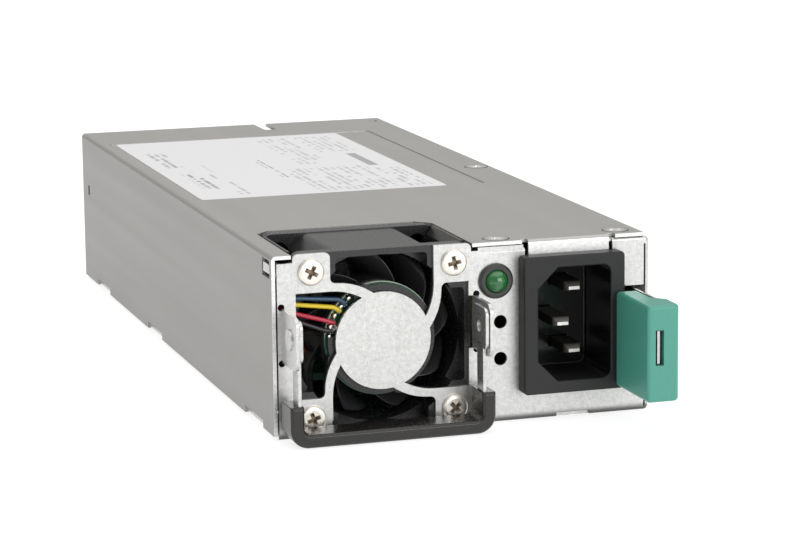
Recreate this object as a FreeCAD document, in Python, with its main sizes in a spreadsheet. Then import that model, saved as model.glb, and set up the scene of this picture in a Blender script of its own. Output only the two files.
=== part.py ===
"""Hot swap server power supply: a 1U case with its cover, fan, inlet, latch, handle and electronics.

Frame: millimetres, +Z up, +Y from the front panel to the rear. The origin lies in the middle
of the case's bottom face, so the front panel is at -case_long / 2.
"""
import FreeCAD, Part
import math
import os
import re

import Sketcher

Vector = FreeCAD.Vector

# Driving dimensions in millimetres and degrees. Each one is a named cell of the sheet "dims".
SIZES = {
    # Case: a folded chassis and a folded cover of the same steel
    "case_wide": 86.0,
    "case_long": 200.0,
    "case_high": 40.0,
    "steel": 0.8,
    "bend_inner": 0.2,
    "panel_bend": 0.7,
    "cover_seam": 0.1,
    "cover_side_gap": 0.35,
    "cover_edge_inset": 1.2,
    "cover_skirt_lift": 0.8,
    "top_flange": 10.0,
    "side_flange_high": 5.0,
    "panel_side_gap": 1.2,
    "panel_flange": 9.0,
    # Cover details
    "fan_window_gap": 0.3,
    "fan_window_long": 31.5,
    "fan_window_corner": 3.3,
    "label_wide": 61.2,
    "label_long": 97.5,
    "label_thick": 0.15,
    "label_x": 34.8,
    "label_y": 72.8,
    "recess_left": 2.5,
    "recess_right": 11.0,
    "recess_margin": 0.6,
    "recess_deep": 0.25,
    "rear_notch_x": 7.5,
    "rear_notch_wide": 3.4,
    "rear_notch_corner": 1.545455,
    "rear_notch_long": 12.0,
    "sight_hole_radius": 1.1,
    "sight_hole_x": 3.9,
    "sight_hole_y": 5.6,
    "skirt_notch_high": 1.6,
    "skirt_notch_long": 15.5,
    "skirt_notch_first": 17.0,
    "skirt_notch_middle": 14.3,
    "skirt_notch_last": 24.3,
    "hook_y": 4.6,
    "hook_z": 37.0,
    "hook_long": 6.0,
    "hook_high": 4.0,
    "side_slot_y": 7.6,
    "side_slot_z": 25.4,
    "side_slot_long": 2.0,
    "side_slot_high": 2.6,
    "cover_screw_head": 3.2,
    "cover_screw_head_high": 0.65,
    "cover_screw_shank": 1.5,
    "cover_screw_long": 5.0,
    "screw_gap": 0.1,
    "cover_screw_one_x": 34.1,
    "cover_screw_one_y": 4.5,
    "cover_screw_two_x": 5.9,
    "cover_screw_two_y": 5.3,
    "cover_screw_three_x": 4.6,
    "cover_screw_three_y": 3.9,
    # Front panel and finger guard
    "fan_x": 24.65,
    "fan_z": 20.15,
    "guard_half_wide": 19.4,
    "guard_sill": 3.3,
    "disc_radius": 10.7,
    "boss_inner": 11.7,
    "boss_outer": 20.0,
    "boss_corner": 1.2,
    "arm_upper": 13.2,
    "arm_lower": 11.5,
    "arm_bend": 14.0,
    "arm_root": 1.5,
    "arm_root_wide": 1.9,
    "arm_upper_turn": 6.3,
    "arm_lower_turn": 8.25,
    "arm_heel": 1.2,
    "relief_slot": 1.5,
    "relief_deep": 1.6,
    "front_hole_radius": 1.5,
    "front_hole_x": 34.7,
    "front_hole_z": 22.3,
    "front_hole_pitch": 8.2,
    "foot_notch_left": 21.7,
    "foot_notch_right": 13.8,
    "foot_notch_high": 0.95,
    # Fan
    "fan_size": 40.0,
    "fan_deep": 28.0,
    "fan_flange": 3.2,
    "fan_corner": 2.5,
    "fan_bore": 18.7,
    "fan_barrel": 19.8,
    "fan_flat": 10.5,
    "fan_screw_pitch": 32.0,
    "fan_hole_radius": 2.15,
    "fan_screw_head": 2.9,
    "fan_screw_crown": 2.175,
    "fan_screw_head_high": 0.9,
    "fan_screw_shank": 2.0,
    "fan_screw_long": 8.0,
    "mouth_wide": 20.6,
    "mouth_long": 37.2,
    "mouth_corner": 0.8,
    "mouth_deep": 4.5,
    "motor_base_radius": 12.0,
    "motor_base_set": 0.6,
    "motor_base_thick": 1.5,
    "motor_tube_radius": 3.4,
    "motor_tube_bore": 2.5,
    "motor_tube_long": 15.0,
    "strut_wide": 1.4,
    "strut_count": 4,
    "strut_out": 12.8,
    "strut_in": 11.3,
    "strut_root": 3.0,
    "strut_end": 15.0,
    "wire_gate_low": 3.4,
    "wire_gate_high": 12.0,
    "fan_board_radius": 11.4,
    "fan_board_thick": 1.0,
    "hub_radius": 12.2,
    "hub_wall": 1.0,
    "hub_start": 5.6,
    "hub_long": 20.4,
    "blade_tip": 18.2,
    "blade_thick": 1.1,
    "blade_edge": 0.5,
    "blade_sweep": 26.0,
    "blade_count": 9,
    "blade_phase": 23.6,
    "blade_curl": 0.3,
    "blade_curl_share": 0.62,
    "blade_start": 1.0,
    "blade_long": 18.0,
    "blade_turn": 26.0,
    "magnet_thick": 1.4,
    "magnet_long": 12.0,
    "shaft_radius": 1.0,
    "shaft_gap": 0.05,
    "bearing_long": 3.5,
    "core_radius": 9.2,
    "core_long": 7.0,
    "core_ring": 1.6,
    "pole_wide": 2.2,
    "pole_shoe": 1.2,
    "pole_count": 4,
    "coil_build": 1.6,
    "wire_radius": 0.48,
    "wire_lane": 2.0,
    "wire_root": 11.0,
    "wire_bow": 12.8,
    "wire_notch_low": 1.2,
    "wire_bend": 2.6,
    "plug_y": 36.0,
    "plug_wide": 10.0,
    "plug_deep": 5.0,
    "plug_high": 6.0,
    "socket_high": 3.0,
    # Status lamp
    "lamp_x": 35.8,
    "lamp_z": 31.5,
    "bezel_radius": 3.9,
    "bezel_proud": 1.0,
    "bezel_body": 3.0,
    "bezel_long": 4.0,
    "lamp_radius": 2.5,
    "lamp_proud": 2.9,
    "lamp_collar": 2.9,
    "lamp_collar_thick": 1.0,
    "lamp_back": 2.4,
    "lead_size": 0.5,
    "lead_pitch": 2.54,
    # Power inlet
    "inlet_x": 18.8,
    "inlet_z": 21.5,
    "inlet_flange_wide": 23.4,
    "inlet_flange_high": 30.6,
    "inlet_flange_thick": 3.8,
    "inlet_flange_corner": 1.0,
    "inlet_body_wide": 20.0,
    "inlet_body_high": 27.8,
    "inlet_body_deep": 20.0,
    "inlet_fit": 0.2,
    "socket_wide": 16.8,
    "socket_tall": 25.2,
    "socket_deep": 16.0,
    "socket_chamfer": 4.6,
    "socket_corner": 1.8,
    "pin_wide": 4.0,
    "pin_thick": 2.0,
    "pin_recess": 2.2,
    "live_pin_recess": 5.8,
    "pin_pitch": 7.0,
    "pin_offset": 2.0,
    "tail_thick": 1.0,
    "tail_reach": 3.0,
    "tail_step": 4.0,
    "lid_tab_wide": 18.7,
    "lid_tab_down": 3.4,
    # Release latch
    "latch_window_left": 6.0,
    "latch_window_low": 6.5,
    "latch_window_high": 28.3,
    "leaf_thick": 0.6,
    "leaf_low": 7.4,
    "leaf_high": 27.8,
    "leaf_rear": 62.0,
    "leaf_run": 4.1,
    "leaf_bend_rear": 4.5,
    "leaf_bend_front": 1.2,
    "leaf_step_rear": -13.2,
    "leaf_step_front": -16.1,
    "leaf_tip": -21.6,
    "leaf_tip_x": 6.8,
    "tongue_low": 15.3,
    "tongue_high": 22.4,
    "tooth_proud": 1.3,
    "tooth_y": 12.0,
    "tooth_long": 6.0,
    "tooth_low": 12.0,
    "tooth_high": 23.0,
    "tooth_gap": 1.0,
    "rivet_radius": 1.2,
    "rivet_hole": 1.5,
    "rivet_head": 2.2,
    "rivet_head_high": 0.8,
    "rivet_lift": 0.3,
    "rivet_set": 4.0,
    "rivet_low": 12.0,
    "rivet_high": 23.0,
    "tab_left": 9.3,
    "tab_right": 1.9,
    "tab_gap": 0.6,
    "tab_long": 18.1,
    "tab_low": 6.9,
    "tab_high": 28.1,
    "tab_leaf_gap": 0.4,
    "tab_flare": 8.6,
    "tab_corner": 1.3,
    "tab_round": 0.8,
    "tab_slot_left": 7.5,
    "tab_slot_right": 5.6,
    "tab_slot_gap": 0.3,
    # Bail handle
    "handle_x": 23.9,
    "handle_half": 22.85,
    "ear_half": 21.1,
    "ear_out": 11.5,
    "ear_low": 17.0,
    "ear_high": 28.6,
    "ear_corner": 2.0,
    "bail_gap": 0.1,
    "bail_thick": 0.8,
    "bail_head": 4.5,
    "bail_head_corner": 1.6,
    "bail_shank": 4.0,
    "bail_shank_set": 2.6,
    "bail_base": 1.3,
    "pivot_y": -6.6,
    "pivot_z": 23.2,
    "pivot_button": 1.5,
    "pivot_button_high": 0.5,
    "pivot_fit": 0.05,
    "pivot_bulge": 2.3,
    "pivot_bulge_high": 0.4,
    "grip_leg": 3.0,
    "grip_low": 0.2,
    "grip_bar": 2.9,
    "grip_top": 9.2,
    "grip_front": -10.2,
    "grip_deep": 8.2,
    "grip_outer_corner": 4.0,
    "grip_inner_corner": 1.5,
    "grip_edge": 0.5,
    # Main board and its edge connector
    "board_left": 3.0,
    "board_right": 2.5,
    "board_step": 48.0,
    "board_front": 14.0,
    "board_front_left": 33.0,
    "board_rear": 4.0,
    "board_bottom": 4.8,
    "board_thick": 1.6,
    "tongue_half": 27.0,
    "tongue_reach": 12.0,
    "tongue_slot_gap": 1.0,
    "contact_count": 18,
    "contact_pitch": 2.8,
    "contact_wide": 1.9,
    "contact_long": 9.5,
    "contact_thick": 0.06,
    "contact_margin": 0.8,
    "standoff_radius": 2.6,
    "standoff_hole": 1.6,
    "board_screw_head": 2.7,
    "board_screw_high": 1.7,
    "board_screw_shank": 1.45,
    "board_screw_long": 5.0,
    "standoff_x": 5.8,
    "standoff_rear_y": 9.0,
    "standoff_left_y": 43.0,
    "standoff_right_y": 18.0,
    "film_thick": 0.3,
    "film_margin": 1.5,
    "film_gap": 0.15,
    # Rear wall vents
    "vent_count": 13,
    "vent_pitch": 6.0,
    "vent_wide": 3.4,
    "vent_low": 12.5,
    "vent_high": 34.5,
    "vent_corner": 1.6,
    # Electronics standing on the main board
    "fuse_x": 5.7,
    "fuse_y": 34.0,
    "fuse_radius": 2.6,
    "fuse_long": 20.0,
    "fuse_cap_long": 5.0,
    "fuse_lift": 1.2,
    "film_capacitor_y": 39.0,
    "film_capacitor_wide": 24.0,
    "film_capacitor_deep": 10.0,
    "film_capacitor_high": 18.0,
    "filter_x": 21.0,
    "filter_y": 56.0,
    "toroid_outer": 12.0,
    "toroid_inner": 6.5,
    "toroid_thick": 10.0,
    "toroid_winding": 1.6,
    "toroid_winding_sweep": 130.0,
    "relay_x": 16.0,
    "relay_y": 76.0,
    "relay_long": 20.0,
    "relay_wide": 15.5,
    "relay_high": 15.5,
    "heatsink_x": -2.0,
    "heatsink_thick": 2.0,
    "heatsink_front": 59.0,
    "heatsink_gap": 2.0,
    "heatsink_high": 28.0,
    "fin_reach": 7.0,
    "fin_thick": 1.2,
    "fin_count": 5,
    "package_thick": 4.6,
    "package_high": 20.0,
    "package_lift": 3.0,
    "bridge_wide": 25.0,
    "transistor_wide": 10.2,
    "package_gap": 1.0,
    "transistor_count": 3,
    "boost_x": 18.5,
    "boost_y": 58.0,
    "boost_outer": 13.0,
    "boost_inner": 7.5,
    "boost_thick": 13.0,
    "boost_winding": 1.8,
    "boost_sweep": 320.0,
    "bulk_x": 17.0,
    "bulk_gap": 3.2,
    "bulk_radius": 12.5,
    "can_edge": 1.0,
    "bulk_count": 2,
    "bulk_seat": 0.1,
    "transformer_x": 20.0,
    "transformer_wide": 30.0,
    "transformer_long": 34.0,
    "transformer_high": 27.0,
    "core_limb": 7.0,
    "core_yoke": 4.48,
    "core_depth": 20.0,
    "output_sink_y": 58.0,
    "output_sink_left": 4.0,
    "output_sink_right": 5.0,
    "output_choke_x": 17.0,
    "output_choke_y": 26.0,
    "output_choke_outer": 11.0,
    "output_choke_inner": 5.0,
    "output_choke_thick": 11.0,
    "output_capacitor_radius": 4.0,
    "output_capacitor_high": 16.0,
    "output_capacitor_x": -6.0,
    "output_capacitor_y": 38.0,
    "output_capacitor_pitch": 9.5,
    "output_capacitor_columns": 5,
    "output_capacitor_rows": 2,
    "standby_x": -5.0,
    "standby_y": 51.5,
    "standby_size": 14.0,
    "block_corner": 0.8,
    "card_x": 4.6,
    "card_front": 52.0,
    "card_long": 40.0,
    "card_high": 24.0,
    "card_thick": 1.2,
    "chip_size": 6.0,
    "chip_thick": 1.2,
    "chip_count": 4,
    "chip_pitch": 9.0,
}

doc = FreeCAD.newDocument("server_power_supply")
dims = doc.addObject("Spreadsheet::Sheet", "dims")
for row, (alias, number) in enumerate(SIZES.items(), start=1):
    dims.set(f"A{row}", alias)
    dims.set(f"B{row}", str(number))
    dims.setAlias(f"B{row}", alias)
doc.recompute()

NODES = []

# Places that many pieces share, as expressions of the sheet's sizes
RIGHT = "(case_wide / 2)"
LEFT = "(-case_wide / 2)"
FRONT = "(-case_long / 2)"
REAR = "(case_long / 2)"
PANEL_BACK = f"({FRONT} + steel)"
COVER_UNDER = "(case_high - steel)"
FLANGE_TOP = f"({COVER_UNDER} - cover_seam)"
PANEL_TOP = f"({FLANGE_TOP} - steel)"
CHASSIS_LEFT = f"({LEFT} + steel + cover_side_gap)"
PANEL_RIGHT = f"({RIGHT} - panel_side_gap)"
BEND_OUTER = "(bend_inner + steel)"
COVER_RIGHT = f"({RIGHT} - cover_edge_inset)"
BOARD_TOP = "(board_bottom + board_thick)"
SKIRT_NOTCH_FIRST = f"({FRONT} + skirt_notch_first)"
HOOK_Y = f"({FRONT} + hook_y)"
COVER_SCREW_ONE_Y = f"({FRONT} + cover_screw_one_y)"
COVER_SCREW_TWO_Y = f"({FRONT} + cover_screw_two_y)"
PLUG_Y = f"({FRONT} + plug_y)"
LEAF_REAR = f"({FRONT} + leaf_rear)"
LEAF_BEND_REAR = f"({FRONT} + leaf_bend_rear)"
LEAF_BEND_FRONT = f"({FRONT} + leaf_bend_front)"
LEAF_STEP_REAR = f"({FRONT} + leaf_step_rear)"
LEAF_STEP_FRONT = f"({FRONT} + leaf_step_front)"
LEAF_TIP = f"({FRONT} + leaf_tip)"
TOOTH_Y = f"({FRONT} + tooth_y)"
PIVOT_Y = f"({FRONT} + pivot_y)"
GRIP_FRONT = f"({FRONT} + grip_front)"
BOARD_FRONT = f"({FRONT} + board_front)"
BOARD_FRONT_LEFT = f"({FRONT} + board_front_left)"
STANDOFF_LEFT_Y = f"({FRONT} + standoff_left_y)"
STANDOFF_RIGHT_Y = f"({FRONT} + standoff_right_y)"
FUSE_Y = f"({FRONT} + fuse_y)"
FILM_CAPACITOR_Y = f"({FRONT} + film_capacitor_y)"
FILTER_Y = f"({FRONT} + filter_y)"
RELAY_Y = f"({FRONT} + relay_y)"
HEATSINK_FRONT = f"({FRONT} + heatsink_front)"
BOOST_Y = f"({FRONT} + boost_y)"
SKIRT_NOTCH_LAST = f"({REAR} - skirt_notch_last)"
SIDE_SLOT_Y = f"({REAR} - side_slot_y)"
SIGHT_HOLE_Y = f"({REAR} - sight_hole_y)"
LABEL_Y = f"({REAR} - label_y)"
BOARD_REAR = f"({REAR} - board_rear)"
STANDOFF_REAR_Y = f"({REAR} - standoff_rear_y)"
OUTPUT_SINK_Y = f"({REAR} - output_sink_y)"
OUTPUT_CHOKE_Y = f"({REAR} - output_choke_y)"
OUTPUT_CAPACITOR_Y = f"({REAR} - output_capacitor_y)"
STANDBY_Y = f"({REAR} - standby_y)"
CARD_FRONT = f"({REAR} - card_front)"
FAN_X = f"({LEFT} + fan_x)"
HANDLE_X = f"({LEFT} + handle_x)"
LABEL_X = f"({LEFT} + label_x)"
RECESS_LEFT = f"({LEFT} + recess_left)"
BOARD_LEFT = f"({LEFT} + board_left)"
BOARD_STEP = f"({LEFT} + board_step)"
BOOST_X = f"({LEFT} + boost_x)"
BULK_X = f"({LEFT} + bulk_x)"
OUTPUT_CHOKE_X = f"({LEFT} + output_choke_x)"
RECESS_RIGHT = f"({RIGHT} - recess_right)"
SIGHT_HOLE_X = f"({RIGHT} - sight_hole_x)"
COVER_SCREW_ONE_X = f"({RIGHT} - cover_screw_one_x)"
COVER_SCREW_TWO_X = f"({RIGHT} - cover_screw_two_x)"
COVER_SCREW_THREE_X = f"({RIGHT} - cover_screw_three_x)"
LAMP_X = f"({RIGHT} - lamp_x)"
FRONT_HOLE_X = f"({RIGHT} - front_hole_x)"
INLET_X = f"({RIGHT} - inlet_x)"
LATCH_WINDOW_LEFT = f"({RIGHT} - latch_window_left)"
LEAF_RUN = f"({RIGHT} - leaf_run)"
LEAF_TIP_X = f"({RIGHT} - leaf_tip_x)"
TAB_LEFT = f"({RIGHT} - tab_left)"
TAB_RIGHT = f"({RIGHT} - tab_right)"
TAB_SLOT_LEFT = f"({RIGHT} - tab_slot_left)"
TAB_SLOT_RIGHT = f"({RIGHT} - tab_slot_right)"
BOARD_RIGHT = f"({RIGHT} - board_right)"
STANDOFF_X = f"({RIGHT} - standoff_x)"
FUSE_X = f"({RIGHT} - fuse_x)"
FILTER_X = f"({RIGHT} - filter_x)"
RELAY_X = f"({RIGHT} - relay_x)"
TRANSFORMER_X = f"({RIGHT} - transformer_x)"
OUTPUT_SINK_RIGHT = f"({RIGHT} - output_sink_right)"
CARD_X = f"({RIGHT} - card_x)"
HEATSINK_REAR = f"({OUTPUT_SINK_Y} - heatsink_gap)"
TRANSFORMER_Y = f"(({RELAY_Y} + relay_wide / 2 + {OUTPUT_SINK_Y}) / 2)"
BULK_START = f"({BOOST_Y} + boost_outer + boost_winding + bulk_gap)"
BULK_END = f"({OUTPUT_CHOKE_Y} - output_choke_outer - boost_winding - bulk_gap)"
BULK_LONG = f"(({BULK_END} - {BULK_START} - bulk_gap * (bulk_count - 1)) / bulk_count)"
FAN = (FAN_X, "fan_z")
FAN_FRONT = PANEL_BACK
FAN_REAR = f"({FAN_FRONT} + fan_deep)"
FAN_BASE = f"({FAN_FRONT} + motor_base_set)"
FAN_BASE_BACK = f"({FAN_BASE} + motor_base_thick)"
HUB_FRONT = f"({FAN_FRONT} + hub_start)"
HUB_REAR = f"({HUB_FRONT} + hub_long)"


def qualified(expression):
    """Point every name of a size in the expression at its cell in the sheet."""
    return re.sub(r"[a-z_]+", lambda word: "dims." + word[0] if word[0] in SIZES else word[0], expression)


def value(expression):
    """Give the number that an expression of the sheet's sizes comes to."""
    return float(dims.evalExpression(expression))


def link(thing, name, expression):
    """Bind one property to an expression of the sheet's sizes."""
    thing.setExpression(name, qualified(str(expression)))


def new_body(label):
    """Start a sub-part as a body of its own, which is written out under its label."""
    body = doc.addObject("PartDesign::Body", label)
    body.Label = label
    NODES.append(body)
    return body


def spot(x, y):
    """Give the point at two expressions."""
    return Vector(value(x), value(y), 0)


def hold(sketch, geometry, end, x, y):
    """Fix one end of a sketch's line, or its point, at two expressions."""
    place = spot(x, y)
    for kind, number, expression in (("DistanceX", place.x, x), ("DistanceY", place.y, y)):
        index = sketch.addConstraint(Sketcher.Constraint(kind, -1, 1, geometry, end, number))
        link(sketch, f"Constraints[{index}]", expression)


def draw_circle(sketch, circle):
    """Draw a circle (x, y, radius)."""
    x, y, radius = circle
    ring = sketch.addGeometry(Part.Circle(spot(x, y), Vector(0, 0, 1), value(radius)), False)
    hold(sketch, ring, 3, x, y)
    index = sketch.addConstraint(Sketcher.Constraint("Radius", ring, value(radius)))
    link(sketch, f"Constraints[{index}]", radius)


def draw_outline(sketch, corners):
    """Draw a closed outline through corners (x, y), or (x, y, radius) where a corner is rounded."""
    count = len(corners)
    spots = [spot(corner[0], corner[1]) for corner in corners]
    arrivals, departures, arcs = [], [], []
    for k, corner in enumerate(corners):
        back = (spots[k - 1] - spots[k]).normalize()
        ahead = (spots[(k + 1) % count] - spots[k]).normalize()
        radius = value(corner[2]) if len(corner) > 2 else 0
        half = back.getAngle(ahead) / 2
        arrivals.append(spots[k] + back * (radius / math.tan(half)))
        departures.append(spots[k] + ahead * (radius / math.tan(half)))
        if not radius:
            arcs.append(None)
            continue
        centre = spots[k] + (back + ahead).normalize() * (radius / math.sin(half))
        turns_left = ahead.cross(back).z > 0
        ends = (arrivals[k], departures[k]) if turns_left else (departures[k], arrivals[k])
        low, high = (math.atan2(end.y - centre.y, end.x - centre.x) for end in ends)
        circle = Part.Circle(centre, Vector(0, 0, 1), radius)
        arcs.append((Part.ArcOfCircle(circle, low, high if high > low else high + 2 * math.pi), turns_left))
    sides = [
        sketch.addGeometry(Part.LineSegment(departures[k], arrivals[(k + 1) % count]), False)
        for k in range(count)
    ]
    for k, corner in enumerate(corners):
        before, after = sides[k - 1], sides[k]
        if not arcs[k]:
            sketch.addConstraint(Sketcher.Constraint("Coincident", before, 2, after, 1))
            hold(sketch, after, 1, *corner)
            continue
        curve, turns_left = arcs[k]
        arc = sketch.addGeometry(curve, False)
        sketch.addConstraint(Sketcher.Constraint("Tangent", before, 2, arc, 1 if turns_left else 2))
        sketch.addConstraint(Sketcher.Constraint("Tangent", after, 1, arc, 2 if turns_left else 1))
        index = sketch.addConstraint(Sketcher.Constraint("Radius", arc, value(corner[2])))
        link(sketch, f"Constraints[{index}]", corner[2])
        mark = sketch.addGeometry(Part.Point(spots[k]), True)
        hold(sketch, mark, 1, corner[0], corner[1])
        sketch.addConstraint(Sketcher.Constraint("PointOnObject", mark, 1, before))
        sketch.addConstraint(Sketcher.Constraint("PointOnObject", mark, 1, after))


def box_outline(x_low, y_low, x_high, y_high, radius=None):
    """List the corners of a rectangle, rounded where a radius is given."""
    corners = [(x_low, y_low), (x_high, y_low), (x_high, y_high), (x_low, y_high)]
    return [corner + (radius,) for corner in corners] if radius else corners


def around(x, y, wide, high, radius=None):
    """List the corners of a rectangle about its centre."""
    return box_outline(f"{x} - ({wide}) / 2", f"{y} - ({high}) / 2",
                       f"{x} + ({wide}) / 2", f"{y} + ({high}) / 2", radius)


def sketch_on(body, plane, origin, shapes):
    """Draw shapes on a body's origin plane, moved to an origin (x, y, z)."""
    sketch = body.newObject("Sketcher::SketchObject", f"{body.Name}_sketch")
    base = next(part for part in body.Origin.OriginFeatures if part.Role == f"{plane}_Plane")
    sketch.AttachmentSupport = [(base, "")]
    sketch.MapMode = "FlatFace"
    x, y, z = origin
    offset = {"XY": (x, y, z), "XZ": (x, z, f"-({y})"), "YZ": (y, z, x)}[plane]
    for name, expression in zip("xyz", offset):
        link(sketch, f"AttachmentOffset.Base.{name}", expression)
    for shape in shapes:
        if isinstance(shape, tuple):
            draw_circle(sketch, shape)
        else:
            draw_outline(sketch, shape)
    return sketch


def origin_for(plane, at, centre):
    """Give a sketch's origin: at along the plane's normal, centre within the plane."""
    first, second = centre
    return {"XY": (first, second, at), "XZ": (first, at, second), "YZ": (at, first, second)}[plane]


def pad(body, plane, at, thick, *shapes, centre=("0", "0")):
    """Raise shapes from a plane at a coordinate, towards the positive axis."""
    feature = body.newObject("PartDesign::Pad", f"{body.Name}_pad")
    feature.Profile = sketch_on(body, plane, origin_for(plane, at, centre), shapes)
    link(feature, "Length", thick)
    feature.Reversed = plane == "XZ"
    return feature


def pocket(body, plane, at, deep, *shapes, centre=("0", "0")):
    """Cut shapes from a plane at a coordinate, towards the positive axis."""
    feature = body.newObject("PartDesign::Pocket", f"{body.Name}_pocket")
    feature.Profile = sketch_on(body, plane, origin_for(plane, at, centre), shapes)
    link(feature, "Length", deep)
    feature.Reversed = plane != "XZ"
    return feature


def turn(body, axis, origin, *shapes, kind="Revolution", sweep="360"):
    """Turn shapes about an axis through an origin. On X they are (along, radius), else (radius, along)."""
    sketch = sketch_on(body, "XZ" if axis == "Z" else "XY", origin, shapes)
    feature = body.newObject(f"PartDesign::{kind}", f"{body.Name}_turn")
    feature.Profile = sketch
    feature.ReferenceAxis = (sketch, ["H_Axis" if axis == "X" else "V_Axis"])
    link(feature, "Angle", sweep)
    return feature


def repeat_round(body, feature, count, about=None, axis="N_Axis"):
    """Repeat a feature about an axis of its own sketch, or of another sketch in the body."""
    pattern = body.newObject("PartDesign::PolarPattern", f"{body.Name}_round")
    pattern.Originals = [feature]
    pattern.Axis = (about or feature.Profile[0], [axis])
    pattern.Angle = 360
    link(pattern, "Occurrences", count)
    body.Tip = pattern
    return pattern


def repeat_along(body, feature, axis, pitch, count):
    """Repeat a feature in a row along one of the body's axes."""
    pattern = body.newObject("PartDesign::LinearPattern", f"{body.Name}_row")
    pattern.Originals = [feature]
    line = next(part for part in body.Origin.OriginFeatures if part.Role == f"{axis}_Axis")
    pattern.Direction = (line, [""])
    link(pattern, "Length", f"{pitch} * ({count} - 1)")
    link(pattern, "Occurrences", count)
    body.Tip = pattern
    return pattern


def soften(body, size, pick, kind="Fillet"):
    """Round or chamfer the edges of a body that pick accepts."""
    doc.recompute()
    base = body.Tip
    names = [f"Edge{n}" for n, edge in enumerate(base.Shape.Edges, start=1) if pick(edge)]
    feature = body.newObject(f"PartDesign::{kind}", f"{body.Name}_edges")
    feature.Base = (base, names)
    link(feature, {"Fillet": "Radius", "Chamfer": "Size"}[kind], size)
    return feature


# ---- Chassis: floor, right wall, front panel with its finger guard, and rear wall in one folded sheet

COVER_SCREWS = [
    (COVER_SCREW_ONE_X, COVER_SCREW_ONE_Y),
    (COVER_SCREW_TWO_X, COVER_SCREW_TWO_Y),
    (COVER_SCREW_THREE_X, "cover_screw_three_y"),
]
INLET_LEFT = f"({INLET_X} - inlet_body_wide / 2 - inlet_fit)"
INLET_RIGHT = f"({INLET_X} + inlet_body_wide / 2 + inlet_fit)"
INLET_LOW = "(inlet_z - inlet_body_high / 2 - inlet_fit)"
FAN_WINDOW = "(fan_size / 2 + fan_window_gap)"
EAR_LEFT = f"({HANDLE_X} - ear_half - steel)"
EAR_RIGHT = f"({HANDLE_X} + ear_half)"
TOOTH_FRONT = f"({TOOTH_Y} - tooth_long)"


def fold_tray(body):
    """Fold the floor, the right wall with its top flange, and the low left flange."""
    pad(body, "XZ", FRONT, "case_long", [
        (CHASSIS_LEFT, "side_flange_high"),
        (CHASSIS_LEFT, "0", BEND_OUTER),
        (RIGHT, "0", BEND_OUTER),
        (RIGHT, FLANGE_TOP, BEND_OUTER),
        (f"{RIGHT} - top_flange", FLANGE_TOP),
        (f"{RIGHT} - top_flange", PANEL_TOP),
        (f"{RIGHT} - steel", PANEL_TOP, "bend_inner"),
        (f"{RIGHT} - steel", "steel", "bend_inner"),
        (f"{CHASSIS_LEFT} + steel", "steel", "bend_inner"),
        (f"{CHASSIS_LEFT} + steel", "side_flange_high"),
    ])
    window = box_outline(f"{FAN_X} - {FAN_WINDOW}", PANEL_BACK,
                         f"{FAN_X} + {FAN_WINDOW}", f"{FRONT} + fan_window_long")
    pocket(body, "XY", "0", "steel", window)


def stand_panel(body):
    """Stand the front panel up and open it for the fan, the inlet, the latch and the lamp."""
    pad(body, "XZ", FRONT, "steel", box_outline(CHASSIS_LEFT, "0", PANEL_RIGHT, PANEL_TOP))
    for low, high in ((f"{FAN_X} + boss_outer + relief_slot", INLET_LEFT), (INLET_RIGHT, f"{RIGHT} - steel / 2")):
        pad(body, "XY", f"{PANEL_TOP} - steel", "steel", box_outline(low, FRONT, high, f"{FRONT} + panel_flange"))
    top = f"{PANEL_TOP} + steel"
    fan_opening = box_outline(f"{FAN_X} - guard_half_wide", "guard_sill", f"{FAN_X} + guard_half_wide", top)
    inlet_opening = box_outline(INLET_LEFT, INLET_LOW, INLET_RIGHT, top)
    latch_window = box_outline(LATCH_WINDOW_LEFT, "latch_window_low", f"{RIGHT} - steel", "latch_window_high")
    left_ear = box_outline(f"{EAR_LEFT} + steel", "ear_low", f"{FAN_X} - guard_half_wide + 1", "ear_high")
    right_ear = box_outline(f"{FAN_X} + guard_half_wide - 1", "ear_low", EAR_RIGHT, "ear_high")
    for opening in (fan_opening, inlet_opening, latch_window, left_ear, right_ear):
        pocket(body, "XZ", FRONT, "steel", opening)
    pocket(body, "XZ", FRONT, "steel + bend_inner",
           box_outline(f"{RIGHT} - foot_notch_left", "0", f"{RIGHT} - foot_notch_right", "foot_notch_high"))
    slot_low = f"{PANEL_TOP} - relief_deep"
    for edge in (f"{FAN_X} - boss_outer - relief_slot", f"{FAN_X} + boss_outer"):
        pocket(body, "XZ", FRONT, "steel", box_outline(edge, slot_low, f"{edge} + relief_slot", top))
    pocket(body, "XZ", FRONT, "steel",
           (LAMP_X, "lamp_z", "bezel_body + screw_gap"),
           (FRONT_HOLE_X, "front_hole_z", "front_hole_radius"),
           (FRONT_HOLE_X, "front_hole_z - front_hole_pitch", "front_hole_radius"))


def pierce_guard(body):
    """Fill the fan's opening with the guard: a disc held by four curved arms from the screw bosses."""
    pad(body, "XZ", FRONT, "steel", ("0", "0", "disc_radius"), centre=FAN)
    arm = pad(body, "XZ", FRONT, "steel", [
        ("-boss_outer", "boss_outer", "boss_corner"),
        ("-boss_inner", "boss_outer", "boss_corner"),
        ("-boss_inner", "arm_upper", "arm_heel"),
        ("-arm_upper_turn", "arm_upper", "arm_bend"),
        ("0", "disc_radius - arm_root"),
        ("0", "disc_radius - arm_root - arm_root_wide"),
        ("-arm_lower_turn", "arm_lower", "arm_bend"),
        ("-boss_outer", "arm_lower"),
    ], centre=FAN)
    repeat_round(body, arm, "4")
    half = "fan_screw_pitch / 2"
    hole = pocket(body, "XZ", FRONT, "steel", (half, half, "fan_screw_shank + screw_gap"), centre=FAN)
    repeat_round(body, hole, "4")


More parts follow.
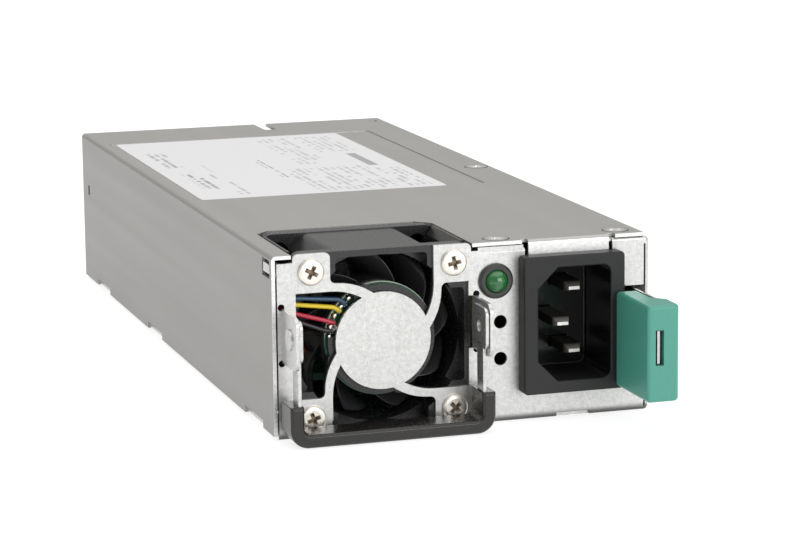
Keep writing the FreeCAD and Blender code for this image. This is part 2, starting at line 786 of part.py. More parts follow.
def lance_ears(body):
    """Bend the two ears of the handle forward, each with a blind recess for the bail's button."""
    for edge, bulge, recess in ((EAR_LEFT, f"{EAR_LEFT} - pivot_bulge_high", f"{EAR_LEFT} + steel - pivot_button_high"),
                                (EAR_RIGHT, f"{EAR_RIGHT} + steel", EAR_RIGHT)):
        pad(body, "YZ", edge, "steel", [
            (PANEL_BACK, "ear_low"),
            (f"{FRONT} - ear_out", "ear_low", "ear_corner"),
            (f"{FRONT} - ear_out", "ear_high", "ear_corner"),
            (PANEL_BACK, "ear_high"),
        ])
        pad(body, "YZ", bulge, "pivot_bulge_high", (PIVOT_Y, "pivot_z", "pivot_bulge"))
        pocket(body, "YZ", recess, "pivot_button_high", (PIVOT_Y, "pivot_z", "pivot_button + pivot_fit"))


def hook_cover(body):
    """Bend a strip back from the panel's left edge, with the hook that holds the cover."""
    strip_end = f"{HOOK_Y} + hook_long / 2"
    pad(body, "YZ", CHASSIS_LEFT, "steel",
        box_outline(FRONT, "hook_z - hook_high / 2", strip_end, PANEL_TOP))
    pad(body, "YZ", f"{LEFT} + cover_seam", "cover_side_gap + steel",
        around(HOOK_Y, "hook_z - cover_seam", "hook_long - 1", "hook_high / 2"))


def close_rear(body):
    """Stand the rear wall up, with its row of vents and the slot for the card edge."""
    pad(body, "XZ", f"{REAR} - steel", "steel",
        box_outline(CHASSIS_LEFT, "0", f"{RIGHT} - steel / 2", PANEL_TOP))
    slot_half = "(tongue_half + tongue_slot_gap)"
    pocket(body, "XZ", f"{REAR} - steel", "steel",
           box_outline(f"-{slot_half}", "board_bottom - tongue_slot_gap",
                       slot_half, f"{BOARD_TOP} + tongue_slot_gap"))
    first = "-vent_pitch * (vent_count - 1) / 2"
    vent = pocket(body, "XZ", f"{REAR} - steel", "steel",
                  around(first, "(vent_low + vent_high) / 2",
                         "vent_wide", "vent_high - vent_low", "vent_corner"))
    repeat_along(body, vent, "X", "vent_pitch", "vent_count")


def make_chassis():
    body = new_body("chassis_base")
    fold_tray(body)
    stand_panel(body)
    pierce_guard(body)
    lance_ears(body)
    hook_cover(body)
    close_rear(body)
    wall = f"{RIGHT} - steel"
    pocket(body, "YZ", wall, "steel",
           box_outline(f"{TOOTH_FRONT} - tooth_gap", "tooth_low - tooth_gap",
                       f"{TOOTH_Y} + tooth_gap", "tooth_high + tooth_gap"))
    rivet_y = f"{LEAF_REAR} - rivet_set"
    pocket(body, "YZ", wall, "steel",
           *((rivet_y, height, "rivet_radius + pivot_fit") for height in ("rivet_low", "rivet_high")))
    under = f"{PANEL_TOP} - steel"
    holes = [(x, y, "cover_screw_shank + screw_gap") for x, y in COVER_SCREWS]
    pocket(body, "XY", under, "2 * steel", *holes, (SIGHT_HOLE_X, SIGHT_HOLE_Y, "sight_hole_radius"))

    front, top, fan_right = value(FRONT), value(PANEL_TOP), value(f"{FAN_X} + boss_outer")

    def is_front_bend(edge):
        low, high = edge.Vertexes[0].Point, edge.Vertexes[-1].Point
        level = abs(low.z - high.z) < 1e-6 and abs(low.x - high.x) > 1
        on_front = abs(low.y - front) < 1e-6 and abs(high.y - front) < 1e-6
        at_floor = abs(low.z) < 1e-6
        at_flange = abs(low.z - top) < 1e-6 and min(low.x, high.x) > fan_right
        return level and on_front and (at_floor or at_flange)

    soften(body, "panel_bend", is_front_bend)


# ---- Cover: the top and the left side in one folded sheet

def make_cover():
    body = new_body("top_cover")
    pad(body, "XZ", FRONT, "case_long", [
        (LEFT, "cover_skirt_lift"),
        (f"{LEFT} + steel", "cover_skirt_lift"),
        (f"{LEFT} + steel", COVER_UNDER, "bend_inner"),
        (COVER_RIGHT, COVER_UNDER),
        (COVER_RIGHT, "case_high"),
        (LEFT, "case_high", BEND_OUTER),
    ])
    left, right = f"{FAN_X} - {FAN_WINDOW}", f"{FAN_X} + {FAN_WINDOW}"
    end = f"{FRONT} + fan_window_long"
    pocket(body, "XY", COVER_UNDER, "steel", [
        (left, f"{FRONT} - 1"), (right, f"{FRONT} - 1"),
        (right, f"{end} - fan_window_corner"), (f"{right} - fan_window_corner", end),
        (f"{left} + fan_window_corner", end), (left, f"{end} - fan_window_corner"),
    ])
    lid_left, lid_right = f"{INLET_X} - lid_tab_wide / 2", f"{INLET_X} + lid_tab_wide / 2"
    for low, high in ((f"{lid_left} - relief_slot", lid_left), (lid_right, f"{lid_right} + relief_slot")):
        pocket(body, "XY", COVER_UNDER, "steel",
               box_outline(low, f"{FRONT} - steel", high, f"{FRONT} + relief_deep"))
    pocket(body, "XY", COVER_UNDER, "steel",
           around("rear_notch_x", REAR, "rear_notch_wide", "2 * rear_notch_long", "rear_notch_corner"))
    pocket(body, "XY", COVER_UNDER, "steel", (SIGHT_HOLE_X, SIGHT_HOLE_Y, "sight_hole_radius"))
    pocket(body, "XY", "case_high - recess_deep", "recess_deep",
           box_outline(RECESS_LEFT, f"{LABEL_Y} - label_long / 2 - recess_margin",
                       RECESS_RIGHT, f"{LABEL_Y} + label_long / 2 + recess_margin", "boss_corner"))
    for x, y in COVER_SCREWS:
        turn(body, "Z", (x, y, "case_high"), [
            ("0", "-2 * steel"), ("cover_screw_shank + screw_gap", "-2 * steel"),
            ("cover_screw_shank + screw_gap", "-cover_screw_head_high"),
            ("cover_screw_head + screw_gap", "0"), ("cover_screw_head + screw_gap", "steel"), ("0", "steel"),
        ], kind="Groove")
    for place in (SKIRT_NOTCH_FIRST, "skirt_notch_middle", SKIRT_NOTCH_LAST):
        pocket(body, "YZ", LEFT, "steel",
               around(place, "cover_skirt_lift", "skirt_notch_long", "2 * skirt_notch_high"))
    pocket(body, "YZ", LEFT, "steel", around(HOOK_Y, "hook_z - cover_seam", "hook_long", "hook_high - cover_seam"),
           around(SIDE_SLOT_Y, "side_slot_z", "side_slot_long", "side_slot_high"))
    pad(body, "XZ", FRONT, "steel",
        box_outline(lid_left, "case_high - lid_tab_down", lid_right, COVER_UNDER + " + steel / 2"))

    front, top = value(FRONT), value("case_high")
    low_x, high_x = value(lid_left), value(lid_right)

    def is_tab_bend(edge):
        ends = [vertex.Point for vertex in edge.Vertexes]
        at_corner = all(abs(p.y - front) < 1e-6 and abs(p.z - top) < 1e-6 for p in ends)
        return at_corner and all(low_x - 0.01 < p.x < high_x + 0.01 for p in ends)

    soften(body, BEND_OUTER, is_tab_bend)


def make_label():
    body = new_body("rating_label")
    pad(body, "XY", "case_high - recess_deep", "label_thick",
        around(LABEL_X, LABEL_Y, "label_wide", "label_long", "boss_corner"))


def make_cover_screws():
    body = new_body("cover_screws")
    for x, y in COVER_SCREWS:
        turn(body, "Z", (x, y, "case_high"), [
            ("0", "-cover_screw_long"), ("cover_screw_shank", "-cover_screw_long"),
            ("cover_screw_shank", "-cover_screw_head_high"), ("cover_screw_head", "0"), ("0", "0"),
        ])


# ---- Fan: a square frame with its motor on the front struts

def eight_sides(reach, flat):
    """List the corners of a square with its corners cut off, from its half width and half a side's length."""
    near, far = f"({flat})", f"({reach})"
    quarter = [(near, f"-{far}"), (far, f"-{near}"), (far, near), (near, far)]
    return quarter + [(f"-{x}", y) for x, y in reversed(quarter)]


def make_fan_frame():
    body = new_body("fan_frame")
    square = around("0", "0", "fan_size", "fan_size", "fan_corner")
    bore = ("0", "0", "fan_bore")
    barrel = [(x, y, "fan_corner") for x, y in eight_sides("fan_barrel", "fan_flat")]
    pad(body, "XZ", FAN_FRONT, "fan_deep", barrel, bore, centre=FAN)
    for at in (FAN_FRONT, f"{FAN_REAR} - fan_flange"):
        pad(body, "XZ", at, "fan_flange", square, bore, centre=FAN)
    half = "fan_screw_pitch / 2"
    hole = pocket(body, "XZ", FAN_FRONT, "fan_deep", (half, half, "fan_hole_radius"), centre=FAN)
    repeat_round(body, hole, "4")
    for wide, high in (("mouth_wide", "mouth_long"), ("mouth_long", "mouth_wide")):
        pocket(body, "XZ", FAN_FRONT, "mouth_deep", around("0", "0", wide, high, "mouth_corner"), centre=FAN)
    gate = box_outline("-fan_size / 2 - 1", "wire_gate_low", "-hub_radius", "wire_gate_high")
    pocket(body, "XZ", FAN_FRONT, "fan_flange", gate, centre=FAN)
    strut = pad(body, "XZ", FAN_BASE, "motor_base_thick", [
        ("-strut_end", "strut_out - strut_wide / 2"), ("-strut_root", "strut_in - strut_wide / 2"),
        ("-strut_root", "strut_in + strut_wide / 2"), ("-strut_end", "strut_out + strut_wide / 2"),
    ], centre=FAN)
    repeat_round(body, strut, "strut_count")
    pad(body, "XZ", FAN_BASE, "motor_base_thick", ("0", "0", "motor_base_radius"), centre=FAN)
    wire_notch = box_outline("-motor_base_radius - 1", "wire_notch_low",
                             "-motor_base_radius / 2", "motor_base_radius - 2")
    pocket(body, "XZ", FAN_BASE, "motor_base_thick", wire_notch, centre=FAN)
    pad(body, "XZ", FAN_BASE_BACK, "motor_tube_long",
        ("0", "0", "motor_tube_radius"), ("0", "0", "motor_tube_bore"), centre=FAN)


def make_fan_board():
    body = new_body("fan_circuit_board")
    pad(body, "XZ", FAN_BASE_BACK, "fan_board_thick",
        ("0", "0", "fan_board_radius"), ("0", "0", "motor_tube_radius"), centre=FAN)


STATOR_FRONT = f"({FAN_BASE_BACK} + fan_board_thick + coil_build * 2)"


def make_stator_core():
    body = new_body("fan_stator_core")
    ring = ("0", "0", "motor_tube_radius + core_ring")
    pad(body, "XZ", STATOR_FRONT, "core_long", ring, ("0", "0", "motor_tube_radius"), centre=FAN)
    shoe = "(core_radius - pole_shoe - 0.5)"
    pole = pad(body, "XZ", STATOR_FRONT, "core_long", [
        ("motor_tube_radius + core_ring / 2", "-pole_wide / 2"),
        (shoe, "-pole_wide / 2"), (shoe, "-pole_wide * 1.2"),
        (f"{shoe} + pole_shoe", "-pole_wide * 1.2"), (f"{shoe} + pole_shoe", "pole_wide * 1.2"),
        (shoe, "pole_wide * 1.2"), (shoe, "pole_wide / 2"),
        ("motor_tube_radius + core_ring / 2", "pole_wide / 2"),
    ], centre=FAN)
    repeat_round(body, pole, "pole_count")


def make_windings():
    body = new_body("fan_windings")
    inner = "(motor_tube_radius + core_ring + 0.1)"
    outer = "(core_radius - pole_shoe - 0.6)"
    middle = f"{STATOR_FRONT} + core_long / 2"
    coil = pad(body, "YZ", f"{FAN_X} + {inner}", f"{outer} - {inner}",
               around(middle, "fan_z", "core_long + 2 * coil_build", "pole_wide + coil_build"),
               around(middle, "fan_z", "core_long", "pole_wide"))
    about = sketch_on(body, "XZ", (FAN_X, "0", "fan_z"), [])
    repeat_round(body, coil, "pole_count", about)


def make_bearings():
    body = new_body("fan_bearings")
    for start in (FAN_BASE_BACK, f"{FAN_BASE_BACK} + motor_tube_long - bearing_long"):
        pad(body, "XZ", start, "bearing_long",
            ("0", "0", "motor_tube_bore"), ("0", "0", "shaft_radius + shaft_gap"), centre=FAN)


def blade_outline(thick, angle):
    """List the corners of a blade's section, from inside the hub to the tip, swept back in a curve."""
    root = "(hub_radius - hub_wall / 2)"
    spine = [(f"({root} + (blade_tip - {root}) * {share})", f"({angle} + blade_sweep * {share})")
             for share in (0, 0.5, 1)]
    half = f"{thick} / 2"
    first = [(f"{r} * cos({a}) + {half} * sin({a})", f"{r} * sin({a}) - {half} * cos({a})") for r, a in spine]
    other = [(f"{r} * cos({a}) - {half} * sin({a})", f"{r} * sin({a}) + {half} * cos({a})") for r, a in spine]
    return first + other[::-1]


def make_impeller():
    body = new_body("fan_impeller")
    boss_front = "hub_long - 2 * hub_wall - 2"
    turn(body, "Y", (FAN_X, HUB_FRONT, "fan_z"), [
        ("hub_radius - hub_wall", "0"), ("hub_radius", "0"), ("hub_radius", "hub_long - hub_wall"),
        ("hub_radius - hub_wall", "hub_long"),
        ("shaft_radius", "hub_long"), ("shaft_radius", boss_front), ("shaft_radius + 2", boss_front),
        ("shaft_radius + 2", "hub_long - hub_wall"), ("hub_radius - hub_wall", "hub_long - hub_wall"),
    ])
    sections = [
        sketch_on(body, "XZ", (FAN_X, f"{HUB_FRONT} + blade_start + blade_long * {share}", "fan_z"),
                  [blade_outline(thick, f"blade_phase + blade_turn * {turned}")])
        for share, turned, thick in (
            ("0", "0", "blade_edge"),
            ("blade_curl", "blade_curl_share", "blade_thick"),
            ("1", "1", "blade_edge"),
        )
    ]
    blade = body.newObject("PartDesign::AdditiveLoft", "fan_impeller_blade")
    blade.Profile = sections[0]
    blade.Sections = sections[1:]
    blade.Ruled = True
    repeat_round(body, blade, "blade_count")


def make_magnet_ring():
    body = new_body("fan_magnet_ring")
    outer = "(hub_radius - hub_wall)"
    turn(body, "Y", (FAN_X, HUB_FRONT, "fan_z"),
         box_outline(f"{outer} - magnet_thick", "0", outer, "magnet_long"))


def make_shaft():
    body = new_body("fan_shaft")
    pad(body, "XZ", f"{FAN_BASE_BACK} + 1", f"{HUB_REAR} - {FAN_BASE_BACK} - 1.5",
        ("0", "0", "shaft_radius"), centre=FAN)


def make_fan_screws():
    body = new_body("fan_screws")
    for across in ("-", "+"):
        for up in ("-", "+"):
            x, z = f"{FAN_X} {across} fan_screw_pitch / 2", f"fan_z {up} fan_screw_pitch / 2"
            turn(body, "Y", (x, FRONT, z), [
                ("0", "-fan_screw_head_high"), ("fan_screw_crown", "-fan_screw_head_high"),
                ("fan_screw_head", "-fan_screw_head_high / 2"), ("fan_screw_head", "0"), ("fan_screw_shank", "0"),
                ("fan_screw_shank", "fan_screw_long"), ("0", "fan_screw_long"),
            ])


# ---- Fan lead: four wires from the motor's board to a plug on the main board

PLUG_X = f"({BOARD_LEFT} + plug_wide / 2 + 0.5)"
PLUG_TOP = f"({BOARD_TOP} + socket_high + plug_high)"


def bent_wire(points, radius, bend):
    """Sweep a round wire along straight runs that are joined by tangent arcs."""
    edges = []
    start = points[0]
    for k in range(1, len(points) - 1):
        back, ahead = points[k - 1] - points[k], points[k + 1] - points[k]
        half_turn = (math.pi - back.getAngle(ahead)) / 2
        reach = min(bend * math.tan(half_turn), 0.45 * min(back.Length, ahead.Length))
        curve = reach / math.tan(half_turn)
        back.normalize()
        ahead.normalize()
        first, last = points[k] + back * reach, points[k] + ahead * reach
        bisector = (back + ahead).normalize()
        middle = points[k] + bisector * (curve / math.cos(half_turn) - curve)
        edges.append(Part.LineSegment(start, first).toShape())
        edges.append(Part.Arc(first, middle, last).toShape())
        start = last
    edges.append(Part.LineSegment(start, points[-1]).toShape())
    path = Part.Wire(edges)
    section = Part.Wire([Part.Circle(points[0], points[1] - points[0], radius).toShape()])
    return path.makePipeShell([section], True, False)


# Each wire's angle round the motor's board, and its drop below the top of the frame's gate
WIRES = {"blue": (134, 1.6), "yellow": (143.7, 2.9), "red": (158.5, 4.4), "black": (168, 5.7)}


def make_fan_wires():
    """Lead each wire from the board, out of the frame's left side and back to its place in the plug."""
    fan = Vector(value(FAN_X), value(f"{FAN_BASE_BACK} - wire_radius"), value("fan_z"))
    lane, rear = value(f"{LEFT} + steel + wire_lane"), value(f"{FAN_REAR} + wire_bend")
    root, bow, gate_top = value("wire_root"), value("wire_bow"), value("fan_z + wire_gate_high")
    plug_x, plug_y, plug_top = value(PLUG_X), value(PLUG_Y), value(PLUG_TOP)
    pitch, radius, bend = value("plug_wide / 4"), value("wire_radius"), value("wire_bend")
    for k, (colour, (angle, drop)) in enumerate(WIRES.items()):
        outward = Vector(math.cos(math.radians(angle)), 0, math.sin(math.radians(angle)))
        height = gate_top - drop
        x = plug_x + (1.5 - k) * pitch
        points = [
            fan + outward * root,
            fan + outward * bow,
            Vector(lane, fan.y, height),
            Vector(lane, rear, height),
            Vector(x, plug_y, plug_top + 2.5 * bend),
            Vector(x, plug_y, plug_top),
        ]
        wire = doc.addObject("Part::Feature", f"fan_wire_{colour}")
        wire.Label = f"fan_wire_{colour}"
        wire.Shape = bent_wire(points, radius, bend)
        NODES.append(wire)


def make_fan_plug():
    socket = new_body("fan_socket")
    pad(socket, "XY", BOARD_TOP, "socket_high", around(PLUG_X, PLUG_Y, "plug_wide", "plug_deep"))
    plug = new_body("fan_plug")
    pad(plug, "XY", f"{BOARD_TOP} + socket_high", "plug_high",
        around(PLUG_X, PLUG_Y, "plug_wide - 0.6", "plug_deep - 0.8", "0.4"))


# ---- Status lamp in its bezel

LAMP = (LAMP_X, FRONT, "lamp_z")


def make_lamp():
    bezel = new_body("status_led_bezel")
    bore = "lamp_radius + screw_gap"
    turn(bezel, "Y", LAMP, [
        (bore, "-bezel_proud"), ("bezel_radius - bezel_proud / 2", "-bezel_proud"),
        ("bezel_radius", "-bezel_proud / 2"), ("bezel_radius", "0"),
        ("bezel_body", "0"), ("bezel_body", "bezel_long"), (bore, "bezel_long"),
    ])
    lamp = new_body("status_led")
    turn(lamp, "Y", LAMP, [
        ("0", "-lamp_proud"), ("lamp_radius", "-lamp_proud", "lamp_radius - screw_gap"),
        ("lamp_radius", "bezel_long"), ("lamp_collar", "bezel_long"),
        ("lamp_collar", "bezel_long + lamp_collar_thick"), ("0", "bezel_long + lamp_collar_thick"),
    ])
    leads = new_body("led_leads")
    start = f"{FRONT} + bezel_long + lamp_collar_thick"
    end = f"{BOARD_FRONT} + lamp_back"
    for side in ("-", "+"):
        pad(leads, "YZ", f"{LAMP_X} {side} lead_pitch / 2 - lead_size / 2", "lead_size", [
            (start, "lamp_z - lead_size / 2"), (start, "lamp_z + lead_size / 2"),
            (f"{end} + lead_size / 2", "lamp_z + lead_size / 2"), (f"{end} + lead_size / 2", BOARD_TOP),
            (f"{end} - lead_size / 2", BOARD_TOP), (f"{end} - lead_size / 2", "lamp_z - lead_size / 2"),
        ])


# ---- Power inlet, stood on its side, with three pins whose tails reach the board

INLET = (INLET_X, "inlet_z")
INLET_FACE = f"({FRONT} - inlet_flange_thick)"
INLET_BACK = f"({FRONT} + inlet_body_deep)"
PINS = {
    "line": (f"{INLET_X} + pin_offset", "inlet_z + pin_pitch", "tail_reach + tail_step", "live_pin_recess"),
    "neutral": (f"{INLET_X} + pin_offset", "inlet_z - pin_pitch", "tail_reach", "live_pin_recess"),
    "earth": (f"{INLET_X} - pin_offset", "inlet_z", "tail_reach", "pin_recess"),
}


def make_inlet():
    body = new_body("inlet_housing")
    pad(body, "XZ", INLET_FACE, "inlet_flange_thick",
        around("0", "0", "inlet_flange_wide", "inlet_flange_high", "inlet_flange_corner"), centre=INLET)
    pad(body, "XZ", FRONT, "inlet_body_deep",
        around("0", "0", "inlet_body_wide", "inlet_body_high", "inlet_flange_corner"), centre=INLET)
    half_wide, half_tall = "socket_wide / 2", "socket_tall / 2"
    pocket(body, "XZ", INLET_FACE, "socket_deep", [
        (f"-{half_wide}", f"-{half_tall} + socket_chamfer"), (f"-{half_wide} + socket_chamfer", f"-{half_tall}"),
        (half_wide, f"-{half_tall}", "socket_corner"), (half_wide, half_tall, "socket_corner"),
        (f"-{half_wide} + socket_chamfer", half_tall), (f"-{half_wide}", f"{half_tall} - socket_chamfer"),
    ], centre=INLET)
    slots = [around(x, z, "pin_wide", "pin_thick") for x, z, _, _ in PINS.values()]
    pocket(body, "XZ", INLET_FACE, "inlet_flange_thick + inlet_body_deep", *slots)
    for name, (x, z, reach, recess) in PINS.items():
        pin = new_body(f"inlet_pin_{name}")
        pad(pin, "XZ", f"{INLET_FACE} + {recess}", f"inlet_flange_thick - {recess} + inlet_body_deep",
            around(x, z, "pin_wide", "pin_thick"))
        end = f"{INLET_BACK} + {reach}"
        pad(pin, "YZ", f"{x} - pin_wide / 4", "pin_wide / 2", [
            (INLET_BACK, f"{z} - tail_thick / 2"), (INLET_BACK, f"{z} + tail_thick / 2"),
            (f"{end} + tail_thick / 2", f"{z} + tail_thick / 2"), (f"{end} + tail_thick / 2", BOARD_TOP),
            (f"{end} - tail_thick / 2", BOARD_TOP), (f"{end} - tail_thick / 2", f"{z} - tail_thick / 2"),
        ])


# ---- Release latch: a spring leaf riveted inside the right wall, with a moulded thumb tab

WALL = f"({RIGHT} - steel)"
TAB_REAR = f"({INLET_FACE} - tab_gap)"
TAB_FRONT = f"({TAB_REAR} - tab_long)"
RIVET_HEIGHTS = ("rivet_low", "rivet_high")


def make_latch_spring():
    body = new_body("latch_spring")
    outer, inner = WALL, f"{WALL} - leaf_thick"
    pad(body, "XY", "leaf_low", "leaf_high - leaf_low", [
        (outer, LEAF_REAR), (outer, LEAF_BEND_REAR),
        (f"{LEAF_RUN} + leaf_thick", LEAF_BEND_FRONT), (f"{LEAF_RUN} + leaf_thick", LEAF_STEP_REAR),
        (LEAF_RUN, LEAF_STEP_REAR), (LEAF_RUN, LEAF_BEND_FRONT),
        (inner, LEAF_BEND_REAR), (inner, LEAF_REAR),
    ])
    pad(body, "XY", "tongue_low", "tongue_high - tongue_low", [
        (LEAF_RUN, LEAF_STEP_REAR), (f"{LEAF_RUN} + leaf_thick", LEAF_STEP_REAR),
        (f"{LEAF_TIP_X} + leaf_thick", LEAF_STEP_FRONT), (f"{LEAF_TIP_X} + leaf_thick", LEAF_TIP),
        (LEAF_TIP_X, LEAF_TIP), (LEAF_TIP_X, LEAF_STEP_FRONT),
    ])
    pad(body, "XY", "tooth_low", "tooth_high - tooth_low", [
        (WALL, TOOTH_FRONT), (f"{RIGHT} + tooth_proud", f"{TOOTH_Y} - steel"),
        (f"{RIGHT} + tooth_proud", TOOTH_Y), (WALL, TOOTH_Y),
    ])
    pocket(body, "YZ", inner, "leaf_thick",
           *((f"{LEAF_REAR} - rivet_set", height, "rivet_hole") for height in RIVET_HEIGHTS))


def make_latch_rivets():
    body = new_body("latch_rivets")
    shank = "(steel + leaf_thick + rivet_lift)"
    for height in RIVET_HEIGHTS:
        turn(body, "X", (RIGHT, f"{LEAF_REAR} - rivet_set", height), [
            ("0", "0"), ("0", "rivet_radius"), (f"-{shank}", "rivet_radius"), (f"-{shank}", "rivet_head"),
            (f"-{shank} - rivet_head_high", "rivet_head"), (f"-{shank} - rivet_head_high", "0"),
        ])


def make_latch_tab():
    body = new_body("latch_tab")
    side = f"{LEAF_RUN} - tab_leaf_gap"
    flare = f"{TAB_REAR} - tab_flare"
    pad(body, "XY", "tab_low", "tab_high - tab_low", [
        (TAB_LEFT, TAB_REAR), (side, TAB_REAR), (side, flare),
        (TAB_RIGHT, f"{flare} - {TAB_RIGHT} + {side}"), (TAB_RIGHT, TAB_FRONT, "tab_corner"),
        (TAB_LEFT, TAB_FRONT, "tab_round"),
    ])
    low, high = value("tab_low"), value("tab_high")
    soften(body, "tab_round",
           lambda edge: any(all(abs(v.Point.z - z) < 1e-6 for v in edge.Vertexes) for z in (low, high)))
    entry = f"{flare} + 1"
    pocket(body, "XY", "tongue_low - tab_slot_gap", "tongue_high - tongue_low + 2 * tab_slot_gap", [
        (TAB_SLOT_LEFT, f"{TAB_FRONT} - 1"), (TAB_SLOT_RIGHT, f"{TAB_FRONT} - 1"),
        (TAB_SLOT_RIGHT, f"{LEAF_STEP_FRONT} - 1"), (f"{TAB_RIGHT} + 1", f"{LEAF_STEP_FRONT} + 1"),
        (f"{TAB_RIGHT} + 1", entry), (f"{side} - 0.1", entry), (f"{side} - 0.1", flare),
        (TAB_SLOT_LEFT, LEAF_STEP_FRONT),
    ])


# ---- Bail handle: a steel strip with a moulded grip, hung on buttons in the panel's ears

SHANK_FRONT = f"({PIVOT_Y} - bail_shank_set)"
SHANK_REAR = f"({SHANK_FRONT} + bail_shank)"
ARM_LEFT = f"({HANDLE_X} - ear_half + bail_gap)"
ARM_RIGHT = f"({HANDLE_X} + ear_half - bail_gap - bail_thick)"


def make_bail():
    body = new_body("handle_bail")
    pad(body, "XY", "bail_base", "bail_thick",
        box_outline(ARM_LEFT, SHANK_FRONT, f"{ARM_RIGHT} + bail_thick", SHANK_REAR))
    buttons = (
        (ARM_LEFT, f"{ARM_LEFT} - pivot_button_high"),
        (ARM_RIGHT, f"{ARM_RIGHT} + bail_thick"),
    )
    for arm, button in buttons:
        pad(body, "YZ", arm, "bail_thick", box_outline(SHANK_FRONT, "bail_base", SHANK_REAR, "pivot_z"))
        pad(body, "YZ", arm, "bail_thick",
            around(PIVOT_Y, "pivot_z", "2 * bail_head", "2 * bail_head", "bail_head_corner"))
        pad(body, "YZ", button, "pivot_button_high", (PIVOT_Y, "pivot_z", "pivot_button"))


def make_grip():
    body = new_body("handle_grip")
    left, right = f"{HANDLE_X} - handle_half", f"{HANDLE_X} + handle_half"
    pad(body, "XZ", GRIP_FRONT, "grip_deep", [
        (left, "grip_top"), (left, "grip_low", "grip_outer_corner"), (right, "grip_low", "grip_outer_corner"),
        (right, "grip_top"), (f"{right} - grip_leg", "grip_top"),
        (f"{right} - grip_leg", "grip_low + grip_bar", "grip_inner_corner"),
        (f"{left} + grip_leg", "grip_low + grip_bar", "grip_inner_corner"), (f"{left} + grip_leg", "grip_top"),
    ])
    faces = (value(GRIP_FRONT), value(f"{GRIP_FRONT} + grip_deep"))
    soften(body, "grip_edge",
           lambda edge: any(all(abs(v.Point.y - y) < 1e-6 for v in edge.Vertexes) for y in faces), "Chamfer")
    for arm in (ARM_LEFT, ARM_RIGHT):
        pocket(body, "YZ", arm, "bail_thick",
               box_outline(SHANK_FRONT, "bail_base", SHANK_REAR, "grip_top + bail_thick"))
    pocket(body, "XY", "bail_base", "bail_thick",
           box_outline(ARM_LEFT, SHANK_FRONT, f"{ARM_RIGHT} + bail_thick", SHANK_REAR))


# ---- Main board on standoffs, with the card edge that plugs into the server

STANDOFFS = [
    (f"-{STANDOFF_X}", STANDOFF_LEFT_Y), (STANDOFF_X, STANDOFF_RIGHT_Y),
    (f"-{STANDOFF_X}", STANDOFF_REAR_Y), (STANDOFF_X, STANDOFF_REAR_Y),
]


def make_main_board():
    body = new_body("main_board")
    tip = f"{REAR} + tongue_reach"
    outline = [
        (BOARD_LEFT, BOARD_FRONT_LEFT), (BOARD_STEP, BOARD_FRONT_LEFT),
        (BOARD_STEP, BOARD_FRONT), (BOARD_RIGHT, BOARD_FRONT),
        (BOARD_RIGHT, BOARD_REAR), ("tongue_half", BOARD_REAR),
        ("tongue_half", tip, "contact_margin"), ("-tongue_half", tip, "contact_margin"),
        ("-tongue_half", BOARD_REAR), (BOARD_LEFT, BOARD_REAR),
    ]
    holes = [(x, y, "board_screw_shank + screw_gap") for x, y in STANDOFFS]
    pad(body, "XY", "board_bottom", "board_thick", outline, *holes)


def make_edge_contacts():
    body = new_body("edge_contacts")
    first = "-contact_pitch * (contact_count - 1) / 2"
    middle = f"{REAR} + tongue_reach - contact_margin - contact_long / 2"
    for level in (BOARD_TOP, "board_bottom - contact_thick"):
        contact = pad(body, "XY", level, "contact_thick",
                      around(first, middle, "contact_wide", "contact_long"))
        repeat_along(body, contact, "X", "contact_pitch", "contact_count")


def make_board_mounts():
    standoffs = new_body("board_standoffs")
    for x, y in STANDOFFS:
        pad(standoffs, "XY", "steel", "board_bottom - steel",
            (x, y, "standoff_radius"), (x, y, "standoff_hole"))
    screws = new_body("board_screws")
    for x, y in STANDOFFS:
        turn(screws, "Z", (x, y, BOARD_TOP), [
            ("0", "-board_screw_long"), ("board_screw_shank", "-board_screw_long"), ("board_screw_shank", "0"),
            ("board_screw_head", "0"), ("board_screw_head * 0.7", "board_screw_high"),
            ("0", "board_screw_high"),
        ])
    film = new_body("insulation_sheet")
    holes = [(x, y, "standoff_radius + film_gap") for x, y in STANDOFFS]
    pad(film, "XY", "steel", "film_thick", [
        (f"{CHASSIS_LEFT} + steel + film_margin / 2", BOARD_FRONT_LEFT), (BOARD_STEP, BOARD_FRONT_LEFT),
        (BOARD_STEP, BOARD_FRONT), (f"{WALL} - film_margin / 2", BOARD_FRONT),
        (f"{WALL} - film_margin / 2", f"{REAR} - steel - film_margin / 2"),
        (f"{CHASSIS_LEFT} + steel + film_margin / 2", f"{REAR} - steel - film_margin / 2"),
    ], *holes)


# ---- Electronics on the board, from the inlet's filter to the output

def stand_block(label, x, y, wide, deep, high, radius=None):
    """Stand a moulded block on the board."""
    body = new_body(label)
    pad(body, "XY", BOARD_TOP, high, around(x, y, wide, deep, radius))
    return body


def make_fuse():
    height = f"({BOARD_TOP} + fuse_lift + fuse_radius)"
    fuse = new_body("inlet_fuse")
    end, cap = "fuse_long / 2", "fuse_long / 2 - fuse_cap_long"
    turn(fuse, "Y", (FUSE_X, FUSE_Y, height), [
        ("0", f"-({end})"), ("fuse_radius", f"-({end})"), ("fuse_radius", f"-({cap})"),
        ("fuse_radius - 0.2", f"-({cap})"), ("fuse_radius - 0.2", cap), ("fuse_radius", cap),
        ("fuse_radius", end), ("0", end),
    ])
    clips = new_body("fuse_clips")
    for side in ("-", "+"):
        middle = f"{FUSE_Y} {side} (fuse_long - fuse_cap_long) / 2"
        start = f"{middle} - fuse_cap_long / 4"
        pad(clips, "XZ", start, "fuse_cap_long / 2",
            box_outline(f"{FUSE_X} - fuse_radius / 2", BOARD_TOP, f"{FUSE_X} + fuse_radius / 2", height))
        pocket(clips, "XZ", start, "fuse_cap_long / 2", (FUSE_X, height, "fuse_radius + pivot_fit"))


